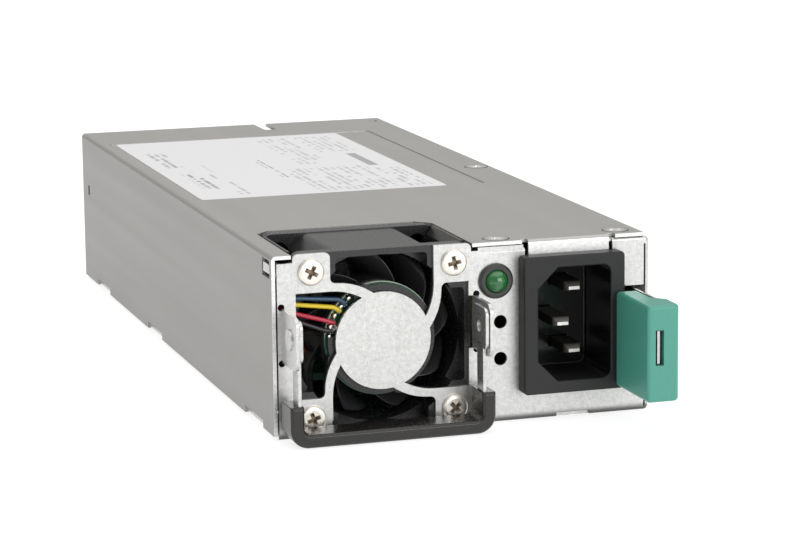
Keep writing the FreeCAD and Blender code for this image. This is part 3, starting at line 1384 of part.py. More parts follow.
def wind_toroid(name, axis, origin, inner, outer, thick, wire, sweep, count):
    """Make a ring core and the winding that wraps round it."""
    core = new_body(f"{name}_core")
    section = box_outline(inner, f"-({thick}) / 2", outer, f"({thick}) / 2")
    turn(core, axis, origin, section)
    winding = new_body(f"{name}_winding")
    wrap = box_outline(f"{inner} - {wire}", f"-({thick}) / 2 - {wire}",
                       f"{outer} + {wire}", f"({thick}) / 2 + {wire}")
    turned = turn(winding, axis, origin, wrap, section, sweep=sweep)
    if count != "1":
        repeat_round(winding, turned, count, axis="V_Axis")


def make_filter():
    stand_block("x_capacitor", FILTER_X, FILM_CAPACITOR_Y,
                "film_capacitor_wide", "film_capacitor_deep", "film_capacitor_high", "1")
    height = f"{BOARD_TOP} + toroid_outer + toroid_winding + bulk_seat"
    wind_toroid("filter_choke", "Y", (FILTER_X, FILTER_Y, height), "toroid_inner", "toroid_outer",
                "toroid_thick", "toroid_winding", "toroid_winding_sweep", "2")
    stand_block("inlet_relay", RELAY_X, RELAY_Y, "relay_long", "relay_wide", "relay_high", "0.6")


def make_primary_heatsink():
    body = new_body("primary_heatsink")
    pad(body, "XZ", HEATSINK_FRONT, f"{HEATSINK_REAR} - {HEATSINK_FRONT}",
        box_outline("heatsink_x", BOARD_TOP, "heatsink_x + heatsink_thick", f"{BOARD_TOP} + heatsink_high"))
    pitch = "((heatsink_high - fin_thick) / (fin_count - 1))"
    fin = pad(body, "XZ", HEATSINK_FRONT, f"{HEATSINK_REAR} - {HEATSINK_FRONT}",
              box_outline("heatsink_x - fin_reach", BOARD_TOP, "heatsink_x + 0.1", f"{BOARD_TOP} + fin_thick"))
    repeat_along(body, fin, "Z", pitch, "fin_count")


def make_packages():
    face = "heatsink_x + heatsink_thick"
    low = f"{BOARD_TOP} + package_lift"
    bridge = new_body("bridge_rectifier")
    pad(bridge, "YZ", face, "package_thick",
        box_outline(f"{HEATSINK_FRONT} + package_gap", low,
                    f"{HEATSINK_FRONT} + package_gap + bridge_wide", f"{low} + package_high", "1"))
    transistors = new_body("power_transistors")
    first = f"({HEATSINK_FRONT} + 2 * package_gap + bridge_wide)"
    pitch = f"(({HEATSINK_REAR} - {first}) / transistor_count)"
    package = pad(transistors, "YZ", face, "package_thick",
                  box_outline(first, low, f"{first} + transistor_wide", f"{low} + package_high", "0.5"))
    repeat_along(transistors, package, "Y", pitch, "transistor_count")


def make_boost_stage():
    height = f"{BOARD_TOP} + boost_thick / 2 + boost_winding + bulk_seat"
    wind_toroid("boost_choke", "Z", (BOOST_X, BOOST_Y, height), "boost_inner", "boost_outer",
                "boost_thick", "boost_winding", "boost_sweep", "1")
    bulk = new_body("bulk_capacitors")
    can = turn(bulk, "Y", (BULK_X, BULK_START, f"{BOARD_TOP} + bulk_radius + bulk_seat"), [
        ("0", "0"), ("bulk_radius - can_edge", "0"), ("bulk_radius", "can_edge"),
        ("bulk_radius", f"{BULK_LONG} - 1"), ("bulk_radius - 1", BULK_LONG), ("0", BULK_LONG),
    ])
    repeat_along(bulk, can, "Y", f"({BULK_LONG} + bulk_gap)", "bulk_count")


def make_transformer():
    core = new_body("main_transformer_core")
    yoke = "core_yoke"
    window = "((transformer_wide - 2 * core_limb) / 2)"
    low, high = f"{BOARD_TOP} + {yoke}", f"{BOARD_TOP} + transformer_high - {yoke}"
    left, right = f"{TRANSFORMER_X} - core_limb / 2", f"{TRANSFORMER_X} + core_limb / 2"
    pad(core, "XZ", f"{TRANSFORMER_Y} - core_depth / 2", "core_depth",
        box_outline(f"{TRANSFORMER_X} - transformer_wide / 2", BOARD_TOP,
                    f"{TRANSFORMER_X} + transformer_wide / 2", f"{BOARD_TOP} + transformer_high"),
        box_outline(f"{left} - {window}", low, left, high),
        box_outline(right, low, f"{right} + {window}", high))
    winding = new_body("main_transformer_winding")
    pad(winding, "XY", low, f"transformer_high - 2 * {yoke}",
        around(TRANSFORMER_X, TRANSFORMER_Y, f"core_limb + 2 * {window} - 0.4", "transformer_long", "3"),
        around(TRANSFORMER_X, TRANSFORMER_Y, "core_limb", "core_depth"))
    stand_block("standby_transformer", "standby_x", STANDBY_Y,
                "standby_size", "standby_size", "standby_size", "block_corner")


def make_output_stage():
    sink = new_body("secondary_heatsink")
    top = f"{BOARD_TOP} + heatsink_high"
    back = f"{OUTPUT_SINK_Y} + heatsink_thick"
    pad(sink, "XZ", OUTPUT_SINK_Y, "heatsink_thick",
        box_outline("output_sink_left", BOARD_TOP, OUTPUT_SINK_RIGHT, top))
    fin = pad(sink, "YZ", "output_sink_left", "fin_thick",
              box_outline(f"{back} - 0.1", BOARD_TOP, f"{back} + fin_reach / 2", top))
    pitch = f"(({OUTPUT_SINK_RIGHT} - output_sink_left - fin_thick) / (fin_count - 1))"
    repeat_along(sink, fin, "X", pitch, "fin_count")
    height = f"{BOARD_TOP} + output_choke_thick / 2 + boost_winding + bulk_seat"
    wind_toroid("output_choke", "Z", (OUTPUT_CHOKE_X, OUTPUT_CHOKE_Y, height), "output_choke_inner",
                "output_choke_outer", "output_choke_thick", "boost_winding", "boost_sweep", "1")
    cans = new_body("output_capacitors")
    can = None
    for k in range(int(value("output_capacitor_rows"))):
        y = f"{OUTPUT_CAPACITOR_Y} + output_capacitor_pitch * {k}"
        can = pad(cans, "XY", BOARD_TOP, "output_capacitor_high",
                  ("output_capacitor_x", y, "output_capacitor_radius"))
        repeat_along(cans, can, "X", "output_capacitor_pitch", "output_capacitor_columns")


def make_control_card():
    card = new_body("control_card")
    pad(card, "YZ", CARD_X, "card_thick",
        box_outline(CARD_FRONT, BOARD_TOP, f"{CARD_FRONT} + card_long", f"{BOARD_TOP} + card_high"))
    chips = new_body("control_chips")
    chip = pad(chips, "YZ", f"{CARD_X} - chip_thick", "chip_thick",
               around(f"{CARD_FRONT} + chip_size", f"{BOARD_TOP} + card_high / 2", "chip_size", "chip_size"))
    repeat_along(chips, chip, "Y", "chip_pitch", "chip_count")


for make in (
    make_chassis, make_cover, make_label, make_cover_screws,
    make_fan_frame, make_fan_board, make_stator_core, make_windings, make_bearings,
    make_impeller, make_magnet_ring, make_shaft, make_fan_screws, make_fan_wires, make_fan_plug,
    make_lamp, make_inlet, make_latch_spring, make_latch_rivets, make_latch_tab, make_bail, make_grip,
    make_main_board, make_edge_contacts, make_board_mounts, make_fuse, make_filter,
    make_primary_heatsink, make_packages, make_boost_stage, make_transformer,
    make_output_stage, make_control_card,
):
    make()
doc.recompute()

failed = [thing.Name for thing in doc.Objects if "Invalid" in thing.State or "Error" in thing.State]
failed += [node.Label for node in NODES if node.Shape.isNull() or not node.Shape.isValid()]
if failed:
    raise SystemExit(f"these objects failed: {failed}")

os.makedirs("parts", exist_ok=True)
for node in NODES:
    node.Shape.exportStep(f"parts/{node.Label}.step")
print(f"{len(NODES)} sub-parts written")
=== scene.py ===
"""A hot swap server power supply: the CAD frame's pieces finished with materials and fine detail.

Blender units are metres, in the frame's own axes: +Z up, +Y from the front panel to the rear.
"""

import math

import bmesh
import bpy
from mathutils import Matrix, Vector


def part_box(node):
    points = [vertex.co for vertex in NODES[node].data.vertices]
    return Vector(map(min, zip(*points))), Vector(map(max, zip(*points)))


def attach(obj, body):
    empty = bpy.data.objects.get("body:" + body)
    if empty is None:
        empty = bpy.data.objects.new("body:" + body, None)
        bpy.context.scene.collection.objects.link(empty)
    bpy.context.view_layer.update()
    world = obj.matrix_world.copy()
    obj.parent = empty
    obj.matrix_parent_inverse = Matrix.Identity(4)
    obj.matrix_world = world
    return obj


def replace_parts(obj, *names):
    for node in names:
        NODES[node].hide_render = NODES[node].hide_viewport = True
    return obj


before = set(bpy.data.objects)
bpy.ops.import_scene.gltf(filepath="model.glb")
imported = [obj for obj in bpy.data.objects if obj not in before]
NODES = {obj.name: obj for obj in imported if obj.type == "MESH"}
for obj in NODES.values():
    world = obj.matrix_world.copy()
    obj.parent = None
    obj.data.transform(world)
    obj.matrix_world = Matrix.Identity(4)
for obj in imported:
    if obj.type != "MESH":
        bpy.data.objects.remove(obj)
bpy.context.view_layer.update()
MM = 0.001


# ---- Camera
# A long lens stands about 0.7 m in front of the case, a little above it and to its left, and looks down along
# it. It leans by a fraction of a degree.

EYE = Vector((-201.1, -697.0, 153.3)) * MM
LOOK = Vector((0.29342, 0.93744, -0.18738))
ROLL = math.radians(-0.64)
LENS = 133.209
SENSOR = 36.0
NEAR_LIMIT = 0.05
FAR_LIMIT = 20

camera = bpy.data.objects.new("camera", bpy.data.cameras.new("camera"))
bpy.context.collection.objects.link(camera)
camera.data.sensor_width = SENSOR
camera.data.lens = LENS
camera.data.clip_start = NEAR_LIMIT
camera.data.clip_end = FAR_LIMIT
turned = LOOK.to_track_quat("-Z", "Y").to_matrix() @ Matrix.Rotation(ROLL, 3, "Z")
camera.matrix_world = Matrix.Translation(EYE) @ turned.to_4x4()
bpy.context.scene.camera = camera


# ---- Studio
# A wide floor glows a little, so that it stays white, under a large soft light. A second light stands low in
# front, on the right, and the air around is pale and even.

FLOOR_WIDE = 12.0
FLOOR_GREY = 0.3
FLOOR_ROUGH = 0.9
FLOOR_GLOW = 0.80
AIR_TINT = (1, 0.99, 0.975)
AIR_GLOW = 0.52


def soft_light(name, place, aim, wide, high, watts):
    """Hang an area light at a place and point it at another."""
    light = bpy.data.objects.new(name, bpy.data.lights.new(name, "AREA"))
    bpy.context.collection.objects.link(light)
    light.data.shape = "RECTANGLE"
    light.data.size = wide
    light.data.size_y = high
    light.data.energy = watts
    light.location = place
    light.rotation_euler = (Vector(aim) - Vector(place)).to_track_quat("-Z", "Y").to_euler()


floor_mesh = bpy.data.meshes.new("floor")
half = FLOOR_WIDE / 2
corners = [(-half, -half, 0), (half, -half, 0), (half, half, 0), (-half, half, 0)]
floor_mesh.from_pydata(corners, [], [(0, 1, 2, 3)])
floor = bpy.data.objects.new("floor", floor_mesh)
bpy.context.collection.objects.link(floor)
floor_paint = bpy.data.materials.new("floor_paint")
floor_paint.use_nodes = True
floor_shader = floor_paint.node_tree.nodes["Principled BSDF"]
floor_shader.inputs["Base Color"].default_value = (FLOOR_GREY, FLOOR_GREY, FLOOR_GREY, 1)
floor_shader.inputs["Roughness"].default_value = FLOOR_ROUGH
floor_shader.inputs["Emission Color"].default_value = (1, 1, 1, 1)
floor_shader.inputs["Emission Strength"].default_value = FLOOR_GLOW
floor_mesh.materials.append(floor_paint)

soft_light("overhead", (0.1, 0.1, 1.6), (0, 0, 0), 2.6, 2.6, 25)
soft_light("front_right", (0.6, -1.6, 0.5), (0, -0.1, 0.02), 1.2, 0.9, 12.8)
world = bpy.data.worlds.new("studio_air")
world.use_nodes = True
air = world.node_tree.nodes["Background"].inputs
air["Color"].default_value = (*AIR_TINT, 1)
air["Strength"].default_value = AIR_GLOW
bpy.context.scene.world = world
bpy.context.scene.view_settings.view_transform = "Standard"


# ---- Folded case and cover
# Zinc-coated sheet steel, 0.8 mm thick, cut and folded on a press: a bright tray with the front panel and its
# finger guard, and a duller L-shaped cover. The cut edges are broken by a tenth of a millimetre and shine,
# the tray's coating shows a fine spangle, and the cover's shows faint rolling streaks along the case.
# Painted shade darkens the bottom of the front fold and the cover's left side, and the cover's front face is
# painted bright: partly bare cut steel, partly a painted highlight.

EDGE_BREAK = 0.12 * MM
SHARP_ANGLE = math.radians(30)
FLAT_ANGLE = math.radians(0.5)
MERGE_REACH = 0.001 * MM
ZINC_LIGHT = (0.68, 0.68, 0.67)
ZINC_DARK = (0.46, 0.46, 0.45)
COVER_LIGHT = (0.44, 0.432, 0.418)
COVER_DARK = (0.385, 0.378, 0.365)
CUT_EDGE_AND_HIGHLIGHT = (0.80, 0.80, 0.79)
SCUFF = (0.66, 0.66, 0.66)
SIDE_SHADE = 0.22
FOLD_SHADE_GREY = (0.11, 0.11, 0.108)
GRAIN = 2600
SPANGLE = 900
CLOUD = 120
STREAK = 260
BLOTCH = 28
SCUFF_GRAIN = 2200
FOLD_SHADE_REAR = -99 * MM
FOLD_SHADE_LOW = 0.5 * MM
FOLD_SHADE_HIGH = 1.9 * MM
PANEL_MIDDLE = -99.6 * MM
PANEL_HALF = 0.4 * MM
SILL_WIDE = 23.4 * MM
SILL_LOW = 1.0 * MM
SILL_HIGH = 3.4 * MM
RELIEF_RADIUS = 0.75 * MM
FOLD_RELIEFS = ((-41.0, 28.9), (-41.0, 16.7), (2.8, 28.9), (2.8, 16.7))
PANEL_WEBS = (
    # middle (x, z), then width and height
    ((-38.98, 26.6), (2.46, 4.1)),
    ((-39.1, 37.5), (1.6, 1.7)),
    ((8.45, 38.3), (10.4, 1.4)),
    ((2.45, 37.5), (1.6, 1.6)),
)
WEB_HALF = 0.385 * MM


class Feed:
    """One output in a finish's node tree. Arithmetic on it adds Math nodes, so 1 - feed works too."""

    def __init__(self, finish, output):
        self.finish = finish
        self.output = output

    def maths(self, operation, *values):
        return self.finish.node("Math", {"operation": operation}, values)

    def __add__(self, other):
        return self.maths("ADD", self, other)

    def __sub__(self, other):
        return self.maths("SUBTRACT", self, other)

    def __mul__(self, other):
        return self.maths("MULTIPLY", self, other)

    def __truediv__(self, other):
        return self.maths("DIVIDE", self, other)

    def __rsub__(self, other):
        return self.maths("SUBTRACT", other, self)

    __radd__ = __add__

    def above(self, limit):
        return self.maths("GREATER_THAN", self, limit)

    def below(self, limit):
        return self.maths("LESS_THAN", self, limit)

    def ease(self, low, high):
        """Rise smoothly from 0 to 1 between two values."""
        ends = {"Value": self, "From Min": low, "From Max": high}
        return self.finish.node("MapRange", {"interpolation_type": "SMOOTHSTEP"}, ends)


class Finish:
    """A material: its node tree and its shader's sockets."""

    def __init__(self, name, colour, **fixed):
        self.material = bpy.data.materials.new(name)
        self.material.use_nodes = True
        self.tree = self.material.node_tree
        self.shader = self.tree.nodes["Principled BSDF"]
        self.shader.inputs["Base Color"].default_value = (*colour, 1)
        for socket, number in fixed.items():
            self.shader.inputs[socket.replace("_", " ")].default_value = number
        self.place = self.node("TexCoord", out="Object")

    def feed(self, socket, value):
        if isinstance(value, Feed):
            self.tree.links.new(value.output, socket)
        elif isinstance(value, tuple) and len(value) == 3 and socket.type == "RGBA":
            socket.default_value = (*value, 1)
        else:
            socket.default_value = value

    def node(self, kind, settings=None, values=(), out=0):
        """Add a node: its settings first, then values or feeds for its sockets, by name or number."""
        made = self.tree.nodes.new(f"ShaderNode{kind}")
        for name, setting in (settings or {}).items():
            setattr(made, name, setting)
        for key, value in (values.items() if isinstance(values, dict) else enumerate(values)):
            self.feed(made.inputs[key], value)
        return Feed(self, made.outputs[out])

    def axis(self, name):
        """Give one coordinate of the place on the surface."""
        return self.node("SeparateXYZ", None, [self.place], out=name)

    def stretched(self, x, y, z):
        """Scale the pattern's place along each axis."""
        return self.node("Mapping", None, {"Vector": self.place, "Scale": (x, y, z)})

    def noise(self, scale, detail, place=None):
        values = {"Vector": place or self.place, "Scale": scale, "Detail": detail}
        return self.node("TexNoise", None, values)

    def mix(self, share, first, second):
        """Blend two colours by a share."""
        return self.node("Mix", {"data_type": "RGBA"}, {0: share, 6: first, 7: second}, out=2)

    def paint(self, **feeds):
        """Feed what changes over the surface into the shader."""
        for socket, value in feeds.items():
            self.feed(self.shader.inputs[socket.replace("_", " ")], value)

    def bump(self, height, depth):
        """Raise the surface by a height field, whose full range is a depth in metres."""
        values = {"Height": height, "Distance": depth, "Strength": 1.0}
        self.paint(Normal=self.node("Bump", None, values))


def zinc_finish(name, dark, light, roughness, depth=0.02):
    """Make a bright zinc coating, with its fine grain and soft spangle, and painted shade low on the front
    fold.
    """
    finish = Finish(name, light, Metallic=0.82, IOR=1.6)
    grain = finish.noise(GRAIN, 3)
    spangle = finish.noise(SPANGLE, 3)
    cloud = finish.noise(CLOUD, 2)
    share = grain * 1.5 + spangle * 1.3 + cloud * 0.4 - 1.1
    # Painted shade: in front of the panel, the colour darkens over the lowest two millimetres.
    fold_shade = (1 - finish.axis("Z").ease(FOLD_SHADE_LOW, FOLD_SHADE_HIGH)) * finish.axis("Y").below(FOLD_SHADE_REAR)
    finish.paint(
        Base_Color=finish.mix(fold_shade, finish.mix(share, dark, light), FOLD_SHADE_GREY),
        Roughness=roughness + (spangle - 0.5) * 0.25)
    finish.bump(grain * 0.6 + spangle * 0.4, depth * MM)
    return finish


def dress(node, finish):
    """Give a CAD node its finish."""
    slots = NODES[node].data.materials
    for k in range(len(slots)):
        slots[k] = finish.material


def add_piece(name, mesh, finish, body):
    """Show a mesh as a piece of the object, which moves with one body."""
    piece = bpy.data.objects.new(name, mesh)
    bpy.context.collection.objects.link(piece)
    if finish:
        mesh.materials.clear()
        mesh.materials.append(finish.material)
    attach(piece, body)
    return piece


def mesh_from(shape, name):
    """Turn a finished bmesh into a mesh."""
    mesh = bpy.data.meshes.new(name)
    shape.to_mesh(mesh)
    shape.free()
    return mesh


def add_drill(cutter, place, axis, radius, depth):
    """Add a round drill to a cutter: its middle at a place, turned from Z about an axis."""
    stand = Matrix.Translation(place) @ Matrix.Rotation(math.radians(90), 4, axis)
    bmesh.ops.create_cone(
        cutter, cap_ends=True, segments=24, radius1=radius, radius2=radius, depth=depth, matrix=stand)


def cut_mesh(mesh, cutter):
    """Take a closed bmesh out of a mesh, and give the result."""
    pair = [bpy.data.objects.new(kept.name, kept) for kept in (mesh, mesh_from(cutter, "cutter"))]
    for item in pair:
        bpy.context.collection.objects.link(item)
    cut = pair[0].modifiers.new("cut", "BOOLEAN")
    cut.object = pair[1]
    cut.solver = "EXACT"
    cut.use_self = True
    bpy.context.view_layer.update()
    done = bpy.data.meshes.new_from_object(pair[0].evaluated_get(bpy.context.evaluated_depsgraph_get()))
    for item in pair:
        bpy.data.objects.remove(item)
    return done


def merged_copy(node):
    """Copy a CAD node's mesh, with its points merged and its flat faces whole."""
    mesh = NODES[node].data.copy()
    shape = bmesh.new()
    shape.from_mesh(mesh)
    bmesh.ops.remove_doubles(shape, verts=shape.verts, dist=MERGE_REACH)
    bmesh.ops.dissolve_limit(shape, angle_limit=FLAT_ANGLE, verts=shape.verts, edges=shape.edges)
    shape.to_mesh(mesh)
    shape.free()
    return mesh


def ease_edges(node, width, finish, body, segments=2, cutter=None):
    """Show a copy of a CAD node whose sharp edges are broken, in the node's place."""
    mesh = merged_copy(node)
    if cutter:
        mesh = cut_mesh(mesh, cutter)
    mesh.name = f"{node}_eased"
    mesh.shade_smooth()
    piece = add_piece(f"{node}_eased", mesh, finish, body)
    bevel = piece.modifiers.new("edge_break", "BEVEL")
    bevel.width = width
    bevel.segments = segments
    bevel.limit_method = "ANGLE"
    bevel.angle_limit = SHARP_ANGLE
    piece.modifiers.new("flat_faces", "WEIGHTED_NORMAL").keep_sharp = True
    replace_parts(piece, node)
    return piece


zinc = zinc_finish("zinc_sheet", ZINC_DARK, ZINC_LIGHT, 0.36)
fan_low, fan_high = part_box("fan_frame")
FAN_AXIS = (fan_low + fan_high) / 2
panel_cutter = bmesh.new()
sill = Matrix.LocRotScale(
    (FAN_AXIS.x, PANEL_MIDDLE, (SILL_LOW + SILL_HIGH) / 2), None,
    (SILL_WIDE, 4 * PANEL_HALF, SILL_HIGH - SILL_LOW))
bmesh.ops.create_cube(panel_cutter, size=1, matrix=sill)
for x, z in FOLD_RELIEFS:
    add_drill(panel_cutter, (x * MM, PANEL_MIDDLE, z * MM), "X", RELIEF_RADIUS, 4 * PANEL_HALF)
ease_edges("chassis_base", EDGE_BREAK, zinc, "case", cutter=panel_cutter)
web_shape = bmesh.new()
for (x, z), (wide, high) in PANEL_WEBS:
    web_box = Matrix.LocRotScale((x * MM, PANEL_MIDDLE, z * MM), None, (wide * MM, 2 * WEB_HALF, high * MM))
    bmesh.ops.create_cube(web_shape, size=1, matrix=web_box)
add_piece("panel_webs", mesh_from(web_shape, "panel_webs"), zinc, "case")

cover_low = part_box("top_cover")[0]
cover_skin = Finish("cover_sheet", COVER_LIGHT, Metallic=0.75, IOR=1.6)
fine = cover_skin.noise(GRAIN, 3)
broad = cover_skin.noise(BLOTCH, 2)
streak = cover_skin.noise(STREAK, 3, cover_skin.stretched(1, 0.02, 1))
# The cover's front face, its cut edge and its front tab, is painted far brighter than the rest, partly bare
# cut steel and partly a painted highlight, with darker scuffs of wear.
front_cut_and_highlight = cover_skin.axis("Y").below(cover_low.y + EDGE_BREAK)
tone_and_side_shade = cover_skin.mix(fine * 0.3 + streak * 0.5 + broad * 0.6 - 0.2, COVER_DARK, COVER_LIGHT)
scuffs = cover_skin.noise(SCUFF_GRAIN, 4, cover_skin.stretched(0.4, 1, 1)).ease(0.35, 0.65)
scuffed_cut_and_highlight = cover_skin.mix(scuffs, SCUFF, CUT_EDGE_AND_HIGHLIGHT)
# Painted shade: the cover's left side is darkened by about a fifth.
side = cover_skin.axis("X").below(cover_low.x + EDGE_BREAK)
tone_and_side_shade = cover_skin.mix(side * SIDE_SHADE, tone_and_side_shade, (0, 0, 0))
cover_skin.paint(
    Base_Color=cover_skin.mix(front_cut_and_highlight, tone_and_side_shade, scuffed_cut_and_highlight),
    Roughness=0.46 + (streak - 0.5) * 0.14 - front_cut_and_highlight * 0.1)
cover_skin.bump(fine * 0.6 + streak * 0.4, 0.006 * MM)
ease_edges("top_cover", EDGE_BREAK, cover_skin, "case")


# ---- Rating label
# A thin silver-white film with a printed face, laid in the cover's shallow recess. It has no wording: broken
# grey lines stand in blocks where a printer would set its columns, each block as shares of the label's sides.

LABEL_WHITE = (0.755, 0.75, 0.765)
LABEL_GREY = (0.26, 0.26, 0.265)
LINE_PITCH = 1.75 * MM
LINE_HIGH = 0.55
PRINT_BLOCKS = (
    # left, right, front, rear, ink
    (0.06, 0.14, 0.53, 0.79, 0.75),
    (0.075, 0.135, 0.13, 0.43, 0.85),
    (0.17, 0.22, 0.05, 0.40, 0.45),
    (0.195, 0.215, 0.42, 0.56, 0.4),
    (0.445, 0.47, 0.27, 0.60, 0.9),
    (0.48, 0.84, 0.03, 0.40, 0.45),
    (0.60, 0.74, 0.47, 0.95, 0.4),
    (0.78, 0.95, 0.66, 0.95, 0.4),
    (0.86, 0.96, 0.03, 0.34, 0.5),
)
STOCK_BAR = (0.865, 0.905, 0.39, 0.61)
STOCK_INK = 0.8
label_low, label_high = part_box("rating_label")

film = Finish("label_film", LABEL_WHITE, Roughness=0.4, IOR=1.45)
across = (film.axis("X") - label_low.x) / (label_high.x - label_low.x)
along = (film.axis("Y") - label_low.y) / (label_high.y - label_low.y)


def block_mask(left, right, front, rear):
    """Mark a block of the label, given as shares of its sides."""
    return across.above(left) * across.below(right) * along.above(front) * along.below(rear)


lines = film.axis("X") / LINE_PITCH
line_number = lines.maths("FLOOR", lines)
on_line = lines.maths("FRACT", lines).below(LINE_HIGH)


def broken_lines(step, rate, start, gap):
    """Break every line along the label in its own way, by a step from line to line and a rate per metre."""
    spot = film.node("CombineXYZ", None, [line_number * step, film.axis("Y") * rate, start])
    return film.noise(1, 1, spot).above(gap)


words = broken_lines(3.7, 520, 0.0, 0.46)
ends = broken_lines(5.1, 60, 4.0, 0.44)
ink = sum((block_mask(*block[:4]) * block[4] for block in PRINT_BLOCKS), 0.0)
print_share = ink * on_line * words * ends + block_mask(*STOCK_BAR) * STOCK_INK
film.paint(Base_Color=film.mix(print_share, LABEL_WHITE, LABEL_GREY))
film.bump(film.noise(3000, 2), 0.004 * MM)
dress("rating_label", film)


# ---- Screws
# Nickel-plated machine screws with a cross recess: four pan heads hold the fan to the guard, and three flat
# heads sit in the cover's formed seats. Each stands at the turn where it came tight. The pan heads' recesses
# and the flat heads' rims carry painted shade, and the flat heads' recesses a painted glint.

FAN_HEAD = 2.9 * MM
FAN_HEAD_HIGH = 0.9 * MM
FAN_SHANK = 2.0 * MM
FLAT_HEAD = 3.15 * MM
FLAT_HEAD_HIGH = 0.65 * MM
FLAT_SHANK = 1.5 * MM
SECOND_SEAT = (4.5 * MM, 4.0 * MM)
RECESS_REACH = 1.65 * MM
RECESS_WIDE = 0.95 * MM
RECESS_DEEP = 1.3 * MM
RECESS_PROUD = 0.2 * MM
RECESS_FOOT = (0.45, 0.7)
RECESS_SHADE = 0.5 * MM
SEAT_RIM_SHADE = 0.4 * MM
PAN_TURNS = (0.35, 1.1, 0.75, 0.2)
FLAT_TURNS = (0.5, 0.2, 0.9)
# A painted glint, for the flat heads' recesses.
GLINT = (0.97, 0.96, 0.94)
FACE_FRONT = (math.radians(90), 0, 0)


def plating(name, dark, light, recess):
    """Make a plated finish, with painted shade where its shade attribute is above 0 and a painted glint below
    0.
    """
    finish = Finish(name, light, Metallic=0.85)
    blotch = finish.noise(1400, 3)
    sunk = finish.node("Attribute", {"attribute_name": "sunk"}, out="Fac")
    finish.paint(
        Base_Color=finish.mix(sunk * -1, finish.mix(sunk, finish.mix(blotch, dark, light), recess), GLINT),
        Roughness=0.24 + blotch * 0.2 + sunk * 0.2)
    finish.bump(finish.noise(900, 2), 0.02 * MM)
    return finish


# The last colour of each plating is its painted shade, for recesses and rims.
nickel = plating("nickel_plate", (0.70, 0.665, 0.60), (0.90, 0.86, 0.79), (0.26, 0.20, 0.14))
dull_nickel = plating("dull_nickel", (0.34, 0.335, 0.325), (0.50, 0.49, 0.475), (0.07, 0.068, 0.065))


def turned_mesh(name, profile, steps=40):
    """Turn a profile of (radius, height) about Z into a closed mesh."""
    shape = bmesh.new()
    verts = [shape.verts.new((radius, 0, height)) for radius, height in profile]
    edges = [shape.edges.new(pair) for pair in zip(verts, verts[1:])]
    bmesh.ops.spin(shape, geom=verts + edges, cent=(0, 0, 0), axis=(0, 0, 1), angle=math.tau, steps=steps)
    bmesh.ops.remove_doubles(shape, verts=shape.verts, dist=MERGE_REACH)
    bmesh.ops.recalc_face_normals(shape, faces=shape.faces)
    return mesh_from(shape, name)


def cross_recess(top):
    """Make the tapered cross that a driver leaves in the top of a screw's head."""
    shape = bmesh.new()
    for turn in (0, math.pi / 2):
        made = bmesh.ops.create_cube(shape, size=1)["verts"]
        for vert in made:
            reach, width = (1.0, 1.0) if vert.co.z > 0 else RECESS_FOOT
            vert.co.x *= 2 * RECESS_REACH * reach
            vert.co.y *= RECESS_WIDE * width
            vert.co.z = top + (RECESS_PROUD if vert.co.z > 0 else -RECESS_DEEP)
        bmesh.ops.rotate(shape, verts=made, cent=(0, 0, 0), matrix=Matrix.Rotation(turn, 3, "Z"))
    return shape


def repeat_tree():
    """Build the tree that sets a model at every point, with one lean, and each point's own turn."""
    tree = bpy.data.node_groups.new("repeat_at_points", "GeometryNodeTree")
    socket = tree.interface.new_socket
    socket("Geometry", in_out="INPUT", socket_type="NodeSocketGeometry")
    socket("Model", in_out="INPUT", socket_type="NodeSocketObject")
    socket("Lean", in_out="INPUT", socket_type="NodeSocketVector")
    socket("Finish", in_out="INPUT", socket_type="NodeSocketMaterial")
    socket("Geometry", in_out="OUTPUT", socket_type="NodeSocketGeometry")
    new, join = tree.nodes.new, tree.links.new
    inputs, output = new("NodeGroupInput"), new("NodeGroupOutput")
    model, place = new("GeometryNodeObjectInfo"), new("GeometryNodeInstanceOnPoints")
    join(inputs.outputs["Model"], model.inputs["Object"])
    join(inputs.outputs["Geometry"], place.inputs["Points"])
    join(model.outputs["Geometry"], place.inputs["Instance"])
    join(inputs.outputs["Lean"], place.inputs["Rotation"])
    turn, about = new("GeometryNodeRotateInstances"), new("ShaderNodeCombineXYZ")
    angle = new("GeometryNodeInputNamedAttribute")
    angle.data_type = "FLOAT"
    angle.inputs["Name"].default_value = "turn"
    join(angle.outputs["Attribute"], about.inputs["Z"])
    join(place.outputs["Instances"], turn.inputs["Instances"])
    join(about.outputs["Vector"], turn.inputs["Rotation"])
    real, dye = new("GeometryNodeRealizeInstances"), new("GeometryNodeSetMaterial")
    join(turn.outputs["Instances"], real.inputs["Geometry"])
    join(real.outputs["Geometry"], dye.inputs["Geometry"])
    join(inputs.outputs["Finish"], dye.inputs["Material"])
    join(dye.outputs["Geometry"], output.inputs["Geometry"])
    return tree


REPEAT = repeat_tree()


def repeat_model(name, mesh, places, turns, lean, finish, body):
    """Set copies of a mesh at places, and show them as one piece."""
    model = bpy.data.objects.new(f"{name}_model", mesh)
    bpy.context.collection.objects.link(model)
    points = bpy.data.meshes.new(f"{name}_places")
    points.from_pydata([tuple(place) for place in places], [], [])
    points.attributes.new("turn", "FLOAT", "POINT").data.foreach_set("value", turns)
    carrier = bpy.data.objects.new(f"{name}_carrier", points)
    bpy.context.collection.objects.link(carrier)
    modifier = carrier.modifiers.new("repeat", "NODES")
    modifier.node_group = REPEAT
    numbers = {item.name: item.identifier for item in REPEAT.interface.items_tree if item.in_out == "INPUT"}
    modifier[numbers["Model"]] = model
    modifier[numbers["Lean"]] = lean
    modifier[numbers["Finish"]] = finish.material
    bpy.context.view_layer.update()
    mesh = bpy.data.meshes.new_from_object(carrier.evaluated_get(bpy.context.evaluated_depsgraph_get()))
    mesh.name = name
    carrier.modifiers.clear()
    bpy.data.objects.remove(carrier)
    bpy.data.objects.remove(model)
    return add_piece(name, mesh, None, body)


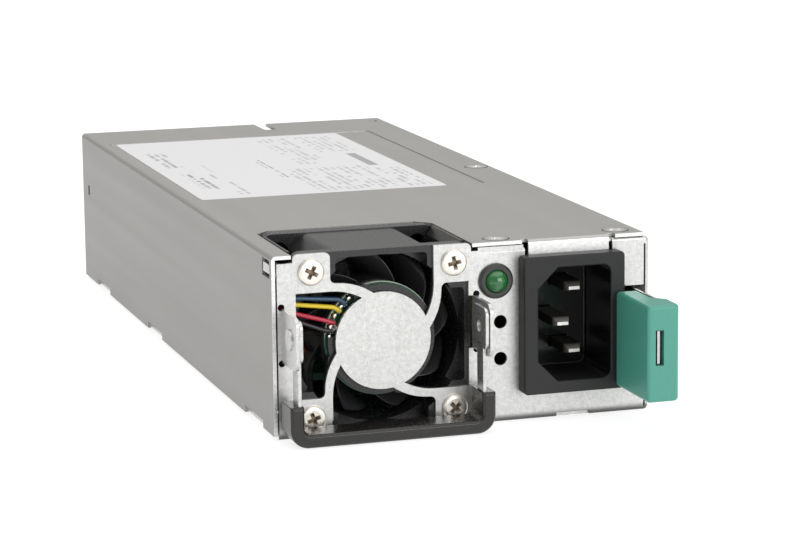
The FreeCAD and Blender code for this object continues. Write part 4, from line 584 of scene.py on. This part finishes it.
def screw_mesh(name, profile, top):
    """Make one screw with its cross recess, marked for painted shade in a pan head and a painted glint in a
    flat one.
    """
    mesh = cut_mesh(turned_mesh(name, profile), cross_recess(top))
    shade_glint_marks = []
    # Painted shade deepens down a pan head's recess and lies on a flat head's outer rim; a flat head's recess
    # takes a painted glint.
    for vert in mesh.vertices:
        if vert.co.xy.length < RECESS_REACH * 1.05:
            shade_glint_marks.append(min(1.0, (top - vert.co.z) / RECESS_SHADE) if top else -1.0)
        else:
            shade_glint_marks.append(float(top == 0 and vert.co.xy.length > FLAT_HEAD - SEAT_RIM_SHADE))
    mesh.attributes.new("sunk", "FLOAT", "POINT").data.foreach_set("value", shade_glint_marks)
    return mesh


screw_low, screw_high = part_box("fan_screws")
panel_face = screw_low.y + FAN_HEAD_HIGH
pan_profile = [
    (0, FAN_HEAD_HIGH), (FAN_HEAD * 0.7, FAN_HEAD_HIGH), (FAN_HEAD * 0.88, FAN_HEAD_HIGH * 0.9),
    (FAN_HEAD * 0.97, FAN_HEAD_HIGH * 0.68), (FAN_HEAD, FAN_HEAD_HIGH * 0.4), (FAN_HEAD, 0), (FAN_SHANK, 0),
    (FAN_SHANK, panel_face - screw_high.y), (0, panel_face - screw_high.y),
]
fan_seats = [
    (x, panel_face, z)
    for x in (screw_low.x + FAN_HEAD, screw_high.x - FAN_HEAD)
    for z in (screw_low.z + FAN_HEAD, screw_high.z - FAN_HEAD)
]
fan_screws = repeat_model(
    "fan_screw_set", screw_mesh("pan_screw", pan_profile, FAN_HEAD_HIGH), fan_seats,
    PAN_TURNS, FACE_FRONT, nickel, "case")
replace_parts(fan_screws, "fan_screws")

seat_low, seat_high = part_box("cover_screws")
flat_profile = [
    (0, 0), (FLAT_HEAD - 0.5 * MM, 0), (FLAT_HEAD - 0.3 * MM, -0.04 * MM), (FLAT_HEAD, -0.12 * MM),
    (FLAT_SHANK, -FLAT_HEAD_HIGH), (FLAT_SHANK, seat_low.z - seat_high.z), (0, seat_low.z - seat_high.z),
]
cover_seats = [
    (seat_low.x + FLAT_HEAD, seat_low.y + FLAT_HEAD, seat_high.z),
    (seat_high.x - SECOND_SEAT[0], seat_low.y + SECOND_SEAT[1], seat_high.z),
    (seat_high.x - FLAT_HEAD, seat_high.y - FLAT_HEAD, seat_high.z),
]
cover_screws = repeat_model(
    "cover_screw_set", screw_mesh("flat_screw", flat_profile, 0), cover_seats,
    FLAT_TURNS, (0, 0, 0), dull_nickel, "case")
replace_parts(cover_screws, "cover_screws")


# ---- Fan
# A 40 mm fan: a glossy black glass-filled frame, whose front struts carry the motor, and a moulded rotor of
# nine swept blades that curl towards the axis. Two thin walls close the frame's sides, and the motor's green
# board shows its pale laminate rim, pale on its upper side only, as painted light from above.

HUB_RADIUS = 12.2 * MM
HUB_WALL = 1.0 * MM
HUB_BORE = 1.0 * MM
BLADE_TIP = 18.2 * MM
BLADE_START = 1.0 * MM
BLADE_LONG = 18.0 * MM
BLADE_HALF = 0.5 * MM
BLADE_COUNT = 9
BLADE_PHASE = 23.6
BLADE_SWEEP = 26.0
BLADE_TURN = 26.0
BLADE_CURL = 2.7
TIP_ROUND = 2.4 * MM
FAN_BOARD_RADIUS = 12.45 * MM
FAN_BOARD_BORE = 3.45 * MM
BOARD_RIM = 0.12 * MM
RIM_LIGHT_LOW = -2 * MM
RIM_LIGHT_HIGH = 6 * MM
WALL_SET = 4.0 * MM
WALL_SECTION = ((19.9, 19.8), (19.3, 19.8), (17.9, 17.9), (17.7, 8.0), (19.9, 8.0))


def moulded_finish(name, dark, light, roughness, grain=1800, depth=0.01):
    """Make a moulded plastic with a fine grain and a little change of tone."""
    finish = Finish(name, light)
    fine = finish.noise(grain, 2)
    broad = finish.noise(90, 2)
    finish.paint(
        Base_Color=finish.mix(broad * 0.6 + fine * 0.4, dark, light),
        Roughness=roughness + (fine - 0.5) * 0.2)
    finish.bump(fine, depth * MM)
    return finish


fan_black = moulded_finish("fan_plastic", (0.011, 0.011, 0.012), (0.027, 0.027, 0.028), 0.28, depth=0.004)
# Painted light: the rotor's black is lighter than the frame's, for light on blades deep in the fan.
rotor_black = moulded_finish(
    "impeller_plastic", (0.030, 0.030, 0.033), (0.055, 0.055, 0.058), 0.22, depth=0.003)
ease_edges("fan_frame", 0.22 * MM, fan_black, "case", segments=3)
wall_shape = bmesh.new()
for side in (-1, 1):
    near, far = [
        [wall_shape.verts.new((FAN_AXIS.x + side * x * MM, y, FAN_AXIS.z + z * MM)) for x, z in WALL_SECTION]
        for y in (fan_low.y + WALL_SET, fan_high.y - WALL_SET)
    ]
    for k in range(len(WALL_SECTION)):
        wall_shape.faces.new((near[k], near[k - 1], far[k - 1], far[k]))
    wall_shape.faces.new(near)
    wall_shape.faces.new(far)
bmesh.ops.recalc_face_normals(wall_shape, faces=wall_shape.faces)
add_piece("fan_side_walls", mesh_from(wall_shape, "fan_side_walls"), fan_black, "case")
dress("fan_magnet_ring", moulded_finish("bonded_magnet", (0.03, 0.03, 0.03), (0.06, 0.06, 0.06), 0.6))


def blade_mesh():
    """Loft one blade about Z, which points out of the fan, through closed sections from root to tip."""
    shape = bmesh.new()
    spans, steps = 10, 14
    rings = []
    for span in range(spans + 1):
        reach = span / spans
        radius = HUB_RADIUS - HUB_WALL / 2 + (BLADE_TIP - HUB_RADIUS + HUB_WALL / 2) * reach
        cut_back = TIP_ROUND * reach ** 7
        ring = []
        for step in range(2 * steps):
            run = step if step <= steps else 2 * steps - step
            share = (1 - math.cos(math.pi * run / steps)) / 2
            side = 1 if step <= steps else -1
            curl = 1 - (1 - share) ** BLADE_CURL
            angle = math.radians(BLADE_PHASE + BLADE_SWEEP * reach + BLADE_TURN * curl)
            half_thick = side * BLADE_HALF * math.sin(math.pi * share) ** 0.5
            depth = BLADE_START + cut_back + (BLADE_LONG - 2 * cut_back) * share
            ring.append(shape.verts.new((
                radius * math.cos(angle) - half_thick * math.sin(angle),
                radius * math.sin(angle) + half_thick * math.cos(angle),
                -depth)))
        rings.append(ring)
    for near, far in zip(rings, rings[1:]):
        for k in range(2 * steps):
            shape.faces.new((near[k], near[k - 1], far[k - 1], far[k]))
    shape.faces.new(rings[0])
    shape.faces.new(rings[-1])
    bmesh.ops.recalc_face_normals(shape, faces=shape.faces)
    for face in shape.faces:
        face.smooth = len(face.verts) == 4
    return mesh_from(shape, "blade")


def smooth_turned(name, profile, steps=96):
    """Turn a profile about Z, with its curved faces smooth."""
    mesh = turned_mesh(name, profile, steps)
    mesh.shade_smooth()
    mesh.set_sharp_from_angle(angle=math.radians(35))
    return mesh


rotor_low, rotor_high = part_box("fan_impeller")
hub_front = Vector((FAN_AXIS.x, rotor_low.y, FAN_AXIS.z))
hub_long = rotor_high.y - rotor_low.y
hub_profile = [
    (HUB_RADIUS - HUB_WALL, 0), (HUB_RADIUS - 0.2 * MM, 0), (HUB_RADIUS, -0.2 * MM),
    (HUB_RADIUS, -hub_long + HUB_WALL), (HUB_RADIUS - 0.3 * HUB_WALL, -hub_long + 0.3 * HUB_WALL),
    (HUB_RADIUS - HUB_WALL, -hub_long), (HUB_BORE, -hub_long), (HUB_BORE, -hub_long + HUB_WALL),
    (HUB_RADIUS - HUB_WALL, -hub_long + HUB_WALL), (HUB_RADIUS - HUB_WALL, 0),
]
hub = repeat_model(
    "impeller_hub", smooth_turned("hub", hub_profile), [hub_front], [0.0], FACE_FRONT, rotor_black,
    "fan_rotor")
blades = repeat_model(
    "impeller_blades", blade_mesh(), [hub_front] * BLADE_COUNT,
    [math.tau * k / BLADE_COUNT for k in range(BLADE_COUNT)], FACE_FRONT, rotor_black,
    "fan_rotor")
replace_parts(hub, "fan_impeller")
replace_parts(blades, "fan_impeller")

board_green = moulded_finish(
    "board_mask", (0.006, 0.06, 0.03), (0.012, 0.11, 0.055), 0.28, grain=600, depth=0.006)
fan_board_low, fan_board_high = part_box("fan_circuit_board")
motor_board = Finish("motor_board_mask", (0.01, 0.09, 0.045), Roughness=0.3)
from_axis = motor_board.node("VectorMath", {"operation": "SUBTRACT"}, [motor_board.place, tuple(FAN_AXIS)])
from_axis = motor_board.node("VectorMath", {"operation": "MULTIPLY"}, [from_axis, (1, 0, 1)])
from_axis = motor_board.node("VectorMath", {"operation": "LENGTH"}, [from_axis], out="Value")
# Painted light: the pale rim shows only on the board's upper side, fading out below the axis.
lit_upper_rim = motor_board.axis("Z").ease(FAN_AXIS.z + RIM_LIGHT_LOW, FAN_AXIS.z + RIM_LIGHT_HIGH)
mask_noise = motor_board.mix(motor_board.noise(700, 2), (0.005, 0.045, 0.024), (0.012, 0.10, 0.05))
motor_board.paint(Base_Color=motor_board.mix(
    from_axis.above(FAN_BOARD_RADIUS - BOARD_RIM) * lit_upper_rim, mask_noise, (0.55, 0.62, 0.50)))
board_thick = fan_board_high.y - fan_board_low.y
board_profile = [
    (FAN_BOARD_BORE, 0), (FAN_BOARD_RADIUS, 0), (FAN_BOARD_RADIUS, -board_thick),
    (FAN_BOARD_BORE, -board_thick), (FAN_BOARD_BORE, 0),
]
fan_board = repeat_model(
    "fan_motor_board", smooth_turned("motor_board", board_profile),
    [Vector((FAN_AXIS.x, fan_board_low.y, FAN_AXIS.z))], [0.0], FACE_FRONT, motor_board,
    "case")
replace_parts(fan_board, "fan_circuit_board")


def metal_finish(name, dark, light, roughness, scale=900):
    """Make a bare or plated metal with a slight unevenness."""
    finish = Finish(name, light, Metallic=1.0)
    cloud = finish.noise(scale, 3)
    finish.paint(Base_Color=finish.mix(cloud, dark, light), Roughness=roughness + (cloud - 0.5) * 0.15)
    finish.bump(cloud, 0.005 * MM)
    return finish


dress("fan_shaft", metal_finish("ground_steel", (0.5, 0.5, 0.5), (0.7, 0.7, 0.7), 0.18))
dress("fan_bearings", metal_finish("bearing_bronze", (0.35, 0.24, 0.12), (0.5, 0.37, 0.2), 0.4))
dress("fan_stator_core", metal_finish("stamped_core", (0.25, 0.25, 0.26), (0.4, 0.4, 0.41), 0.45))
copper = metal_finish("copper_wire", (0.22, 0.075, 0.03), (0.42, 0.17, 0.08), 0.3, scale=1500)
dress("fan_windings", copper)


# ---- Fan lead
# Four thin wires in coloured insulation run from solder joints on the motor's board to a small nylon plug.

JOINT_RADIUS = 0.8 * MM
JOINT_HIGH = 0.9 * MM
JOINT_PLACES = (
    # out from the fan's axis, and the angle
    (10.9, 134), (10.9, 143.7), (10.9, 158.5), (10.9, 168), (11.6, 151), (9.9, 163), (11.5, 139),
    (11.6, 163.5), (11.6, 127), (11.5, 174),
)
INSULATION = {
    "red": (0.50, 0.02, 0.055),
    "yellow": (0.80, 0.60, 0.02),
    "blue": (0.03, 0.075, 0.14),
    "black": (0.010, 0.010, 0.011),
}
for colour, tint in INSULATION.items():
    deeper = tuple(part * 0.8 for part in tint)
    sheath = moulded_finish(f"insulation_{colour}", deeper, tint, 0.3, grain=900, depth=0.004)
    dress(f"fan_wire_{colour}", sheath)
nylon = moulded_finish("white_nylon", (0.7, 0.69, 0.62), (0.82, 0.81, 0.75), 0.4)
dress("fan_plug", nylon)
dress("fan_socket", nylon)

solder = metal_finish("solder", (0.6, 0.6, 0.57), (0.86, 0.86, 0.82), 0.2, scale=1800)
joint_profile = [
    (0, JOINT_HIGH), (JOINT_RADIUS * 0.45, JOINT_HIGH * 0.92), (JOINT_RADIUS * 0.75, JOINT_HIGH * 0.6),
    (JOINT_RADIUS * 0.9, JOINT_HIGH * 0.25), (JOINT_RADIUS, 0), (0, 0),
]
joint_places = [
    (FAN_AXIS.x + out * MM * math.cos(math.radians(at)), fan_board_low.y,
     FAN_AXIS.z + out * MM * math.sin(math.radians(at)))
    for out, at in JOINT_PLACES
]
repeat_model(
    "solder_joints", smooth_turned("joint", joint_profile, 20), joint_places, [0.0] * len(joint_places),
    FACE_FRONT, solder, "case")


# ---- Status lamp
# A lamp moulded in green tinted epoxy, in a black snap-in bezel. Its two tinned leads run back and down to
# the main board.

lens = Finish("lamp_lens", (0.012, 0.13, 0.03), Roughness=0.1, IOR=1.5, Coat_Weight=0.6)
lens.shader.inputs["Coat Roughness"].default_value = 0.04
lens.paint(Base_Color=lens.mix(lens.noise(500, 1), (0.008, 0.085, 0.02), (0.018, 0.17, 0.042)))
dress("status_led", lens)
dress("status_led_bezel", moulded_finish("bezel_plastic", (0.016, 0.019, 0.016), (0.036, 0.040, 0.034), 0.4))
tinned = metal_finish("tinned_wire", (0.6, 0.6, 0.57), (0.78, 0.78, 0.74), 0.28)
dress("led_leads", tinned)


# ---- Mains inlet
# A black thermoset moulding: its flange has a spark-eroded grain, its socket is glossy. Three nickel-plated
# blades with tapered noses stand in the socket; painted shade darkens each blade but its nose.

FLANGE_DEEP = 0.5 * MM
SOCKET_MARGIN = 3.2 * MM
NOSE_LONG = 1.6 * MM
NOSE_SIDE = 0.75 * MM
NOSE_UPPER = 0.95 * MM
NOSE_LOWER = 0.35 * MM
PIN_THICK = 2 * MM

inlet_low, inlet_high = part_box("inlet_housing")
inlet_black = Finish("inlet_plastic", (0.02, 0.02, 0.02), Roughness=0.5, IOR=1.42)
erosion = inlet_black.noise(1900, 3)
socket = inlet_black.axis("Y").above(inlet_low.y + FLANGE_DEEP)
for axis, low, high in (("X", inlet_low.x, inlet_high.x), ("Z", inlet_low.z, inlet_high.z)):
    place = inlet_black.axis(axis)
    socket = socket * place.above(low + SOCKET_MARGIN) * place.below(high - SOCKET_MARGIN)
grained = inlet_black.mix(erosion, (0.006, 0.006, 0.0065), (0.017, 0.017, 0.017))
inlet_black.paint(
    Base_Color=inlet_black.mix(socket, grained, (0.006, 0.006, 0.006)),
    Roughness=0.50 + (erosion - 0.5) * 0.3 - socket * 0.36)
inlet_black.bump(erosion * (1 - socket), 0.05 * MM)
ease_edges("inlet_housing", 0.35 * MM, inlet_black, "case", segments=3)
pin_nickel = plating("pin_nickel", (0.62, 0.60, 0.56), (0.85, 0.83, 0.80), (0.05, 0.046, 0.04))


def pointed_pin(node):
    """Show a copy of a pin whose end tapers to a small face, in the node's place, with painted shade on all
    but its nose.
    """
    low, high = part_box(node)
    middle_x, middle_z = (low.x + high.x) / 2, high.z - PIN_THICK / 2
    shape = bmesh.new()
    shape.from_mesh(merged_copy(node))
    bmesh.ops.bisect_plane(
        shape, geom=[*shape.verts, *shape.edges, *shape.faces], plane_co=(0, low.y + NOSE_LONG, 0),
        plane_no=(0, 1, 0))
    at_tip = [corner.co.y < low.y + NOSE_LONG / 2 for corner in shape.verts]
    for corner, tip in zip(shape.verts, at_tip):
        if tip:
            corner.co.x += math.copysign(NOSE_SIDE, middle_x - corner.co.x)
            corner.co.z += NOSE_LOWER if corner.co.z < middle_z else -NOSE_UPPER
    mesh = mesh_from(shape, f"{node}_pointed")
    # Painted shade on the blade's body, none at its nose.
    shade_glint_marks = [0.0 if tip else 1.0 for tip in at_tip]
    mesh.attributes.new("sunk", "FLOAT", "POINT").data.foreach_set("value", shade_glint_marks)
    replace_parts(add_piece(f"{node}_pointed", mesh, pin_nickel, "case"), node)


for name in ("line", "neutral", "earth"):
    pointed_pin(f"inlet_pin_{name}")


# ---- Release latch
# A stainless leaf spring has its end in a teal green moulded tab, and two aluminium rivets hold it to the
# wall. Leaf and tab move as one.

spring = metal_finish("spring_steel", (0.42, 0.42, 0.42), (0.62, 0.62, 0.61), 0.3, scale=700)
dress("latch_spring", spring)
dress("latch_rivets", metal_finish("rivet_aluminium", (0.6, 0.6, 0.6), (0.75, 0.75, 0.75), 0.35))
tab_green = moulded_finish(
    "touch_green", (0.056, 0.272, 0.208), (0.077, 0.318, 0.248), 0.36, grain=1300, depth=0.012)
ease_edges("latch_tab", 0.35 * MM, tab_green, "latch", segments=3)


# ---- Bail handle
# A zinc-plated steel strip, formed to a U, with a black moulded grip over its bend. Its pivots are pushed
# out of its arms, which leaves a dimple in each inner face.

PIVOT_FACES = (-39.1, 0.9)
PIVOT_Y = -106.6
PIVOT_Z = 23.2
PIVOT_DIMPLE = 1.25 * MM

bail_zinc = zinc_finish("bail_zinc", ZINC_DARK, ZINC_LIGHT, 0.3, depth=0.0006)
pivot_cutter = bmesh.new()
for x in PIVOT_FACES:
    add_drill(pivot_cutter, Vector((x, PIVOT_Y, PIVOT_Z)) * MM, "Y", PIVOT_DIMPLE, PIVOT_DIMPLE)
ease_edges("handle_bail", EDGE_BREAK, bail_zinc, "handle", cutter=pivot_cutter)
grip_black = moulded_finish(
    "grip_plastic", (0.009, 0.008, 0.008), (0.018, 0.016, 0.015), 0.27, grain=1700, depth=0.012)
ease_edges("handle_grip", 0.5 * MM, grip_black, "handle", segments=4)


# ---- Main board and the parts on it
# Green laminate with gold contacts at its rear edge; chokes, capacitors and heatsinks stand on it and
# show through the vents and round the fan.

for name in ("main_board", "control_card"):
    dress(name, board_green)
dress("edge_contacts", metal_finish("gold_plate", (0.75, 0.5, 0.16), (0.95, 0.7, 0.3), 0.22))
dress("board_standoffs", metal_finish("standoff_brass", (0.5, 0.36, 0.14), (0.68, 0.52, 0.24), 0.35))
dress("board_screws", nickel)
dress("insulation_sheet", moulded_finish("insulating_film", (0.1, 0.1, 0.1), (0.16, 0.16, 0.16), 0.4))
dress("inlet_fuse", moulded_finish("fuse_ceramic", (0.6, 0.58, 0.52), (0.78, 0.76, 0.7), 0.35))
dress("fuse_clips", tinned)
dress("x_capacitor", moulded_finish("film_case", (0.6, 0.42, 0.05), (0.75, 0.55, 0.1), 0.4))
ferrite = moulded_finish("ferrite", (0.035, 0.035, 0.038), (0.08, 0.08, 0.085), 0.55)
for name in ("filter_choke_core", "boost_choke_core", "output_choke_core", "main_transformer_core"):
    dress(name, ferrite)
for name in ("filter_choke_winding", "boost_choke_winding", "output_choke_winding"):
    dress(name, copper)
dress("main_transformer_winding", moulded_finish("winding_tape", (0.6, 0.42, 0.03), (0.8, 0.6, 0.08), 0.35))
black_case = moulded_finish("black_case", (0.015, 0.015, 0.016), (0.03, 0.03, 0.032), 0.45)
for name in ("inlet_relay", "bridge_rectifier", "power_transistors", "standby_transformer", "control_chips"):
    dress(name, black_case)
fin_metal = metal_finish("fin_aluminium", (0.55, 0.55, 0.56), (0.75, 0.75, 0.76), 0.35)
dress("primary_heatsink", fin_metal)
dress("secondary_heatsink", fin_metal)
sleeve = moulded_finish("capacitor_sleeve", (0.01, 0.01, 0.03), (0.03, 0.03, 0.07), 0.3)
dress("bulk_capacitors", sleeve)
dress("output_capacitors", sleeve)
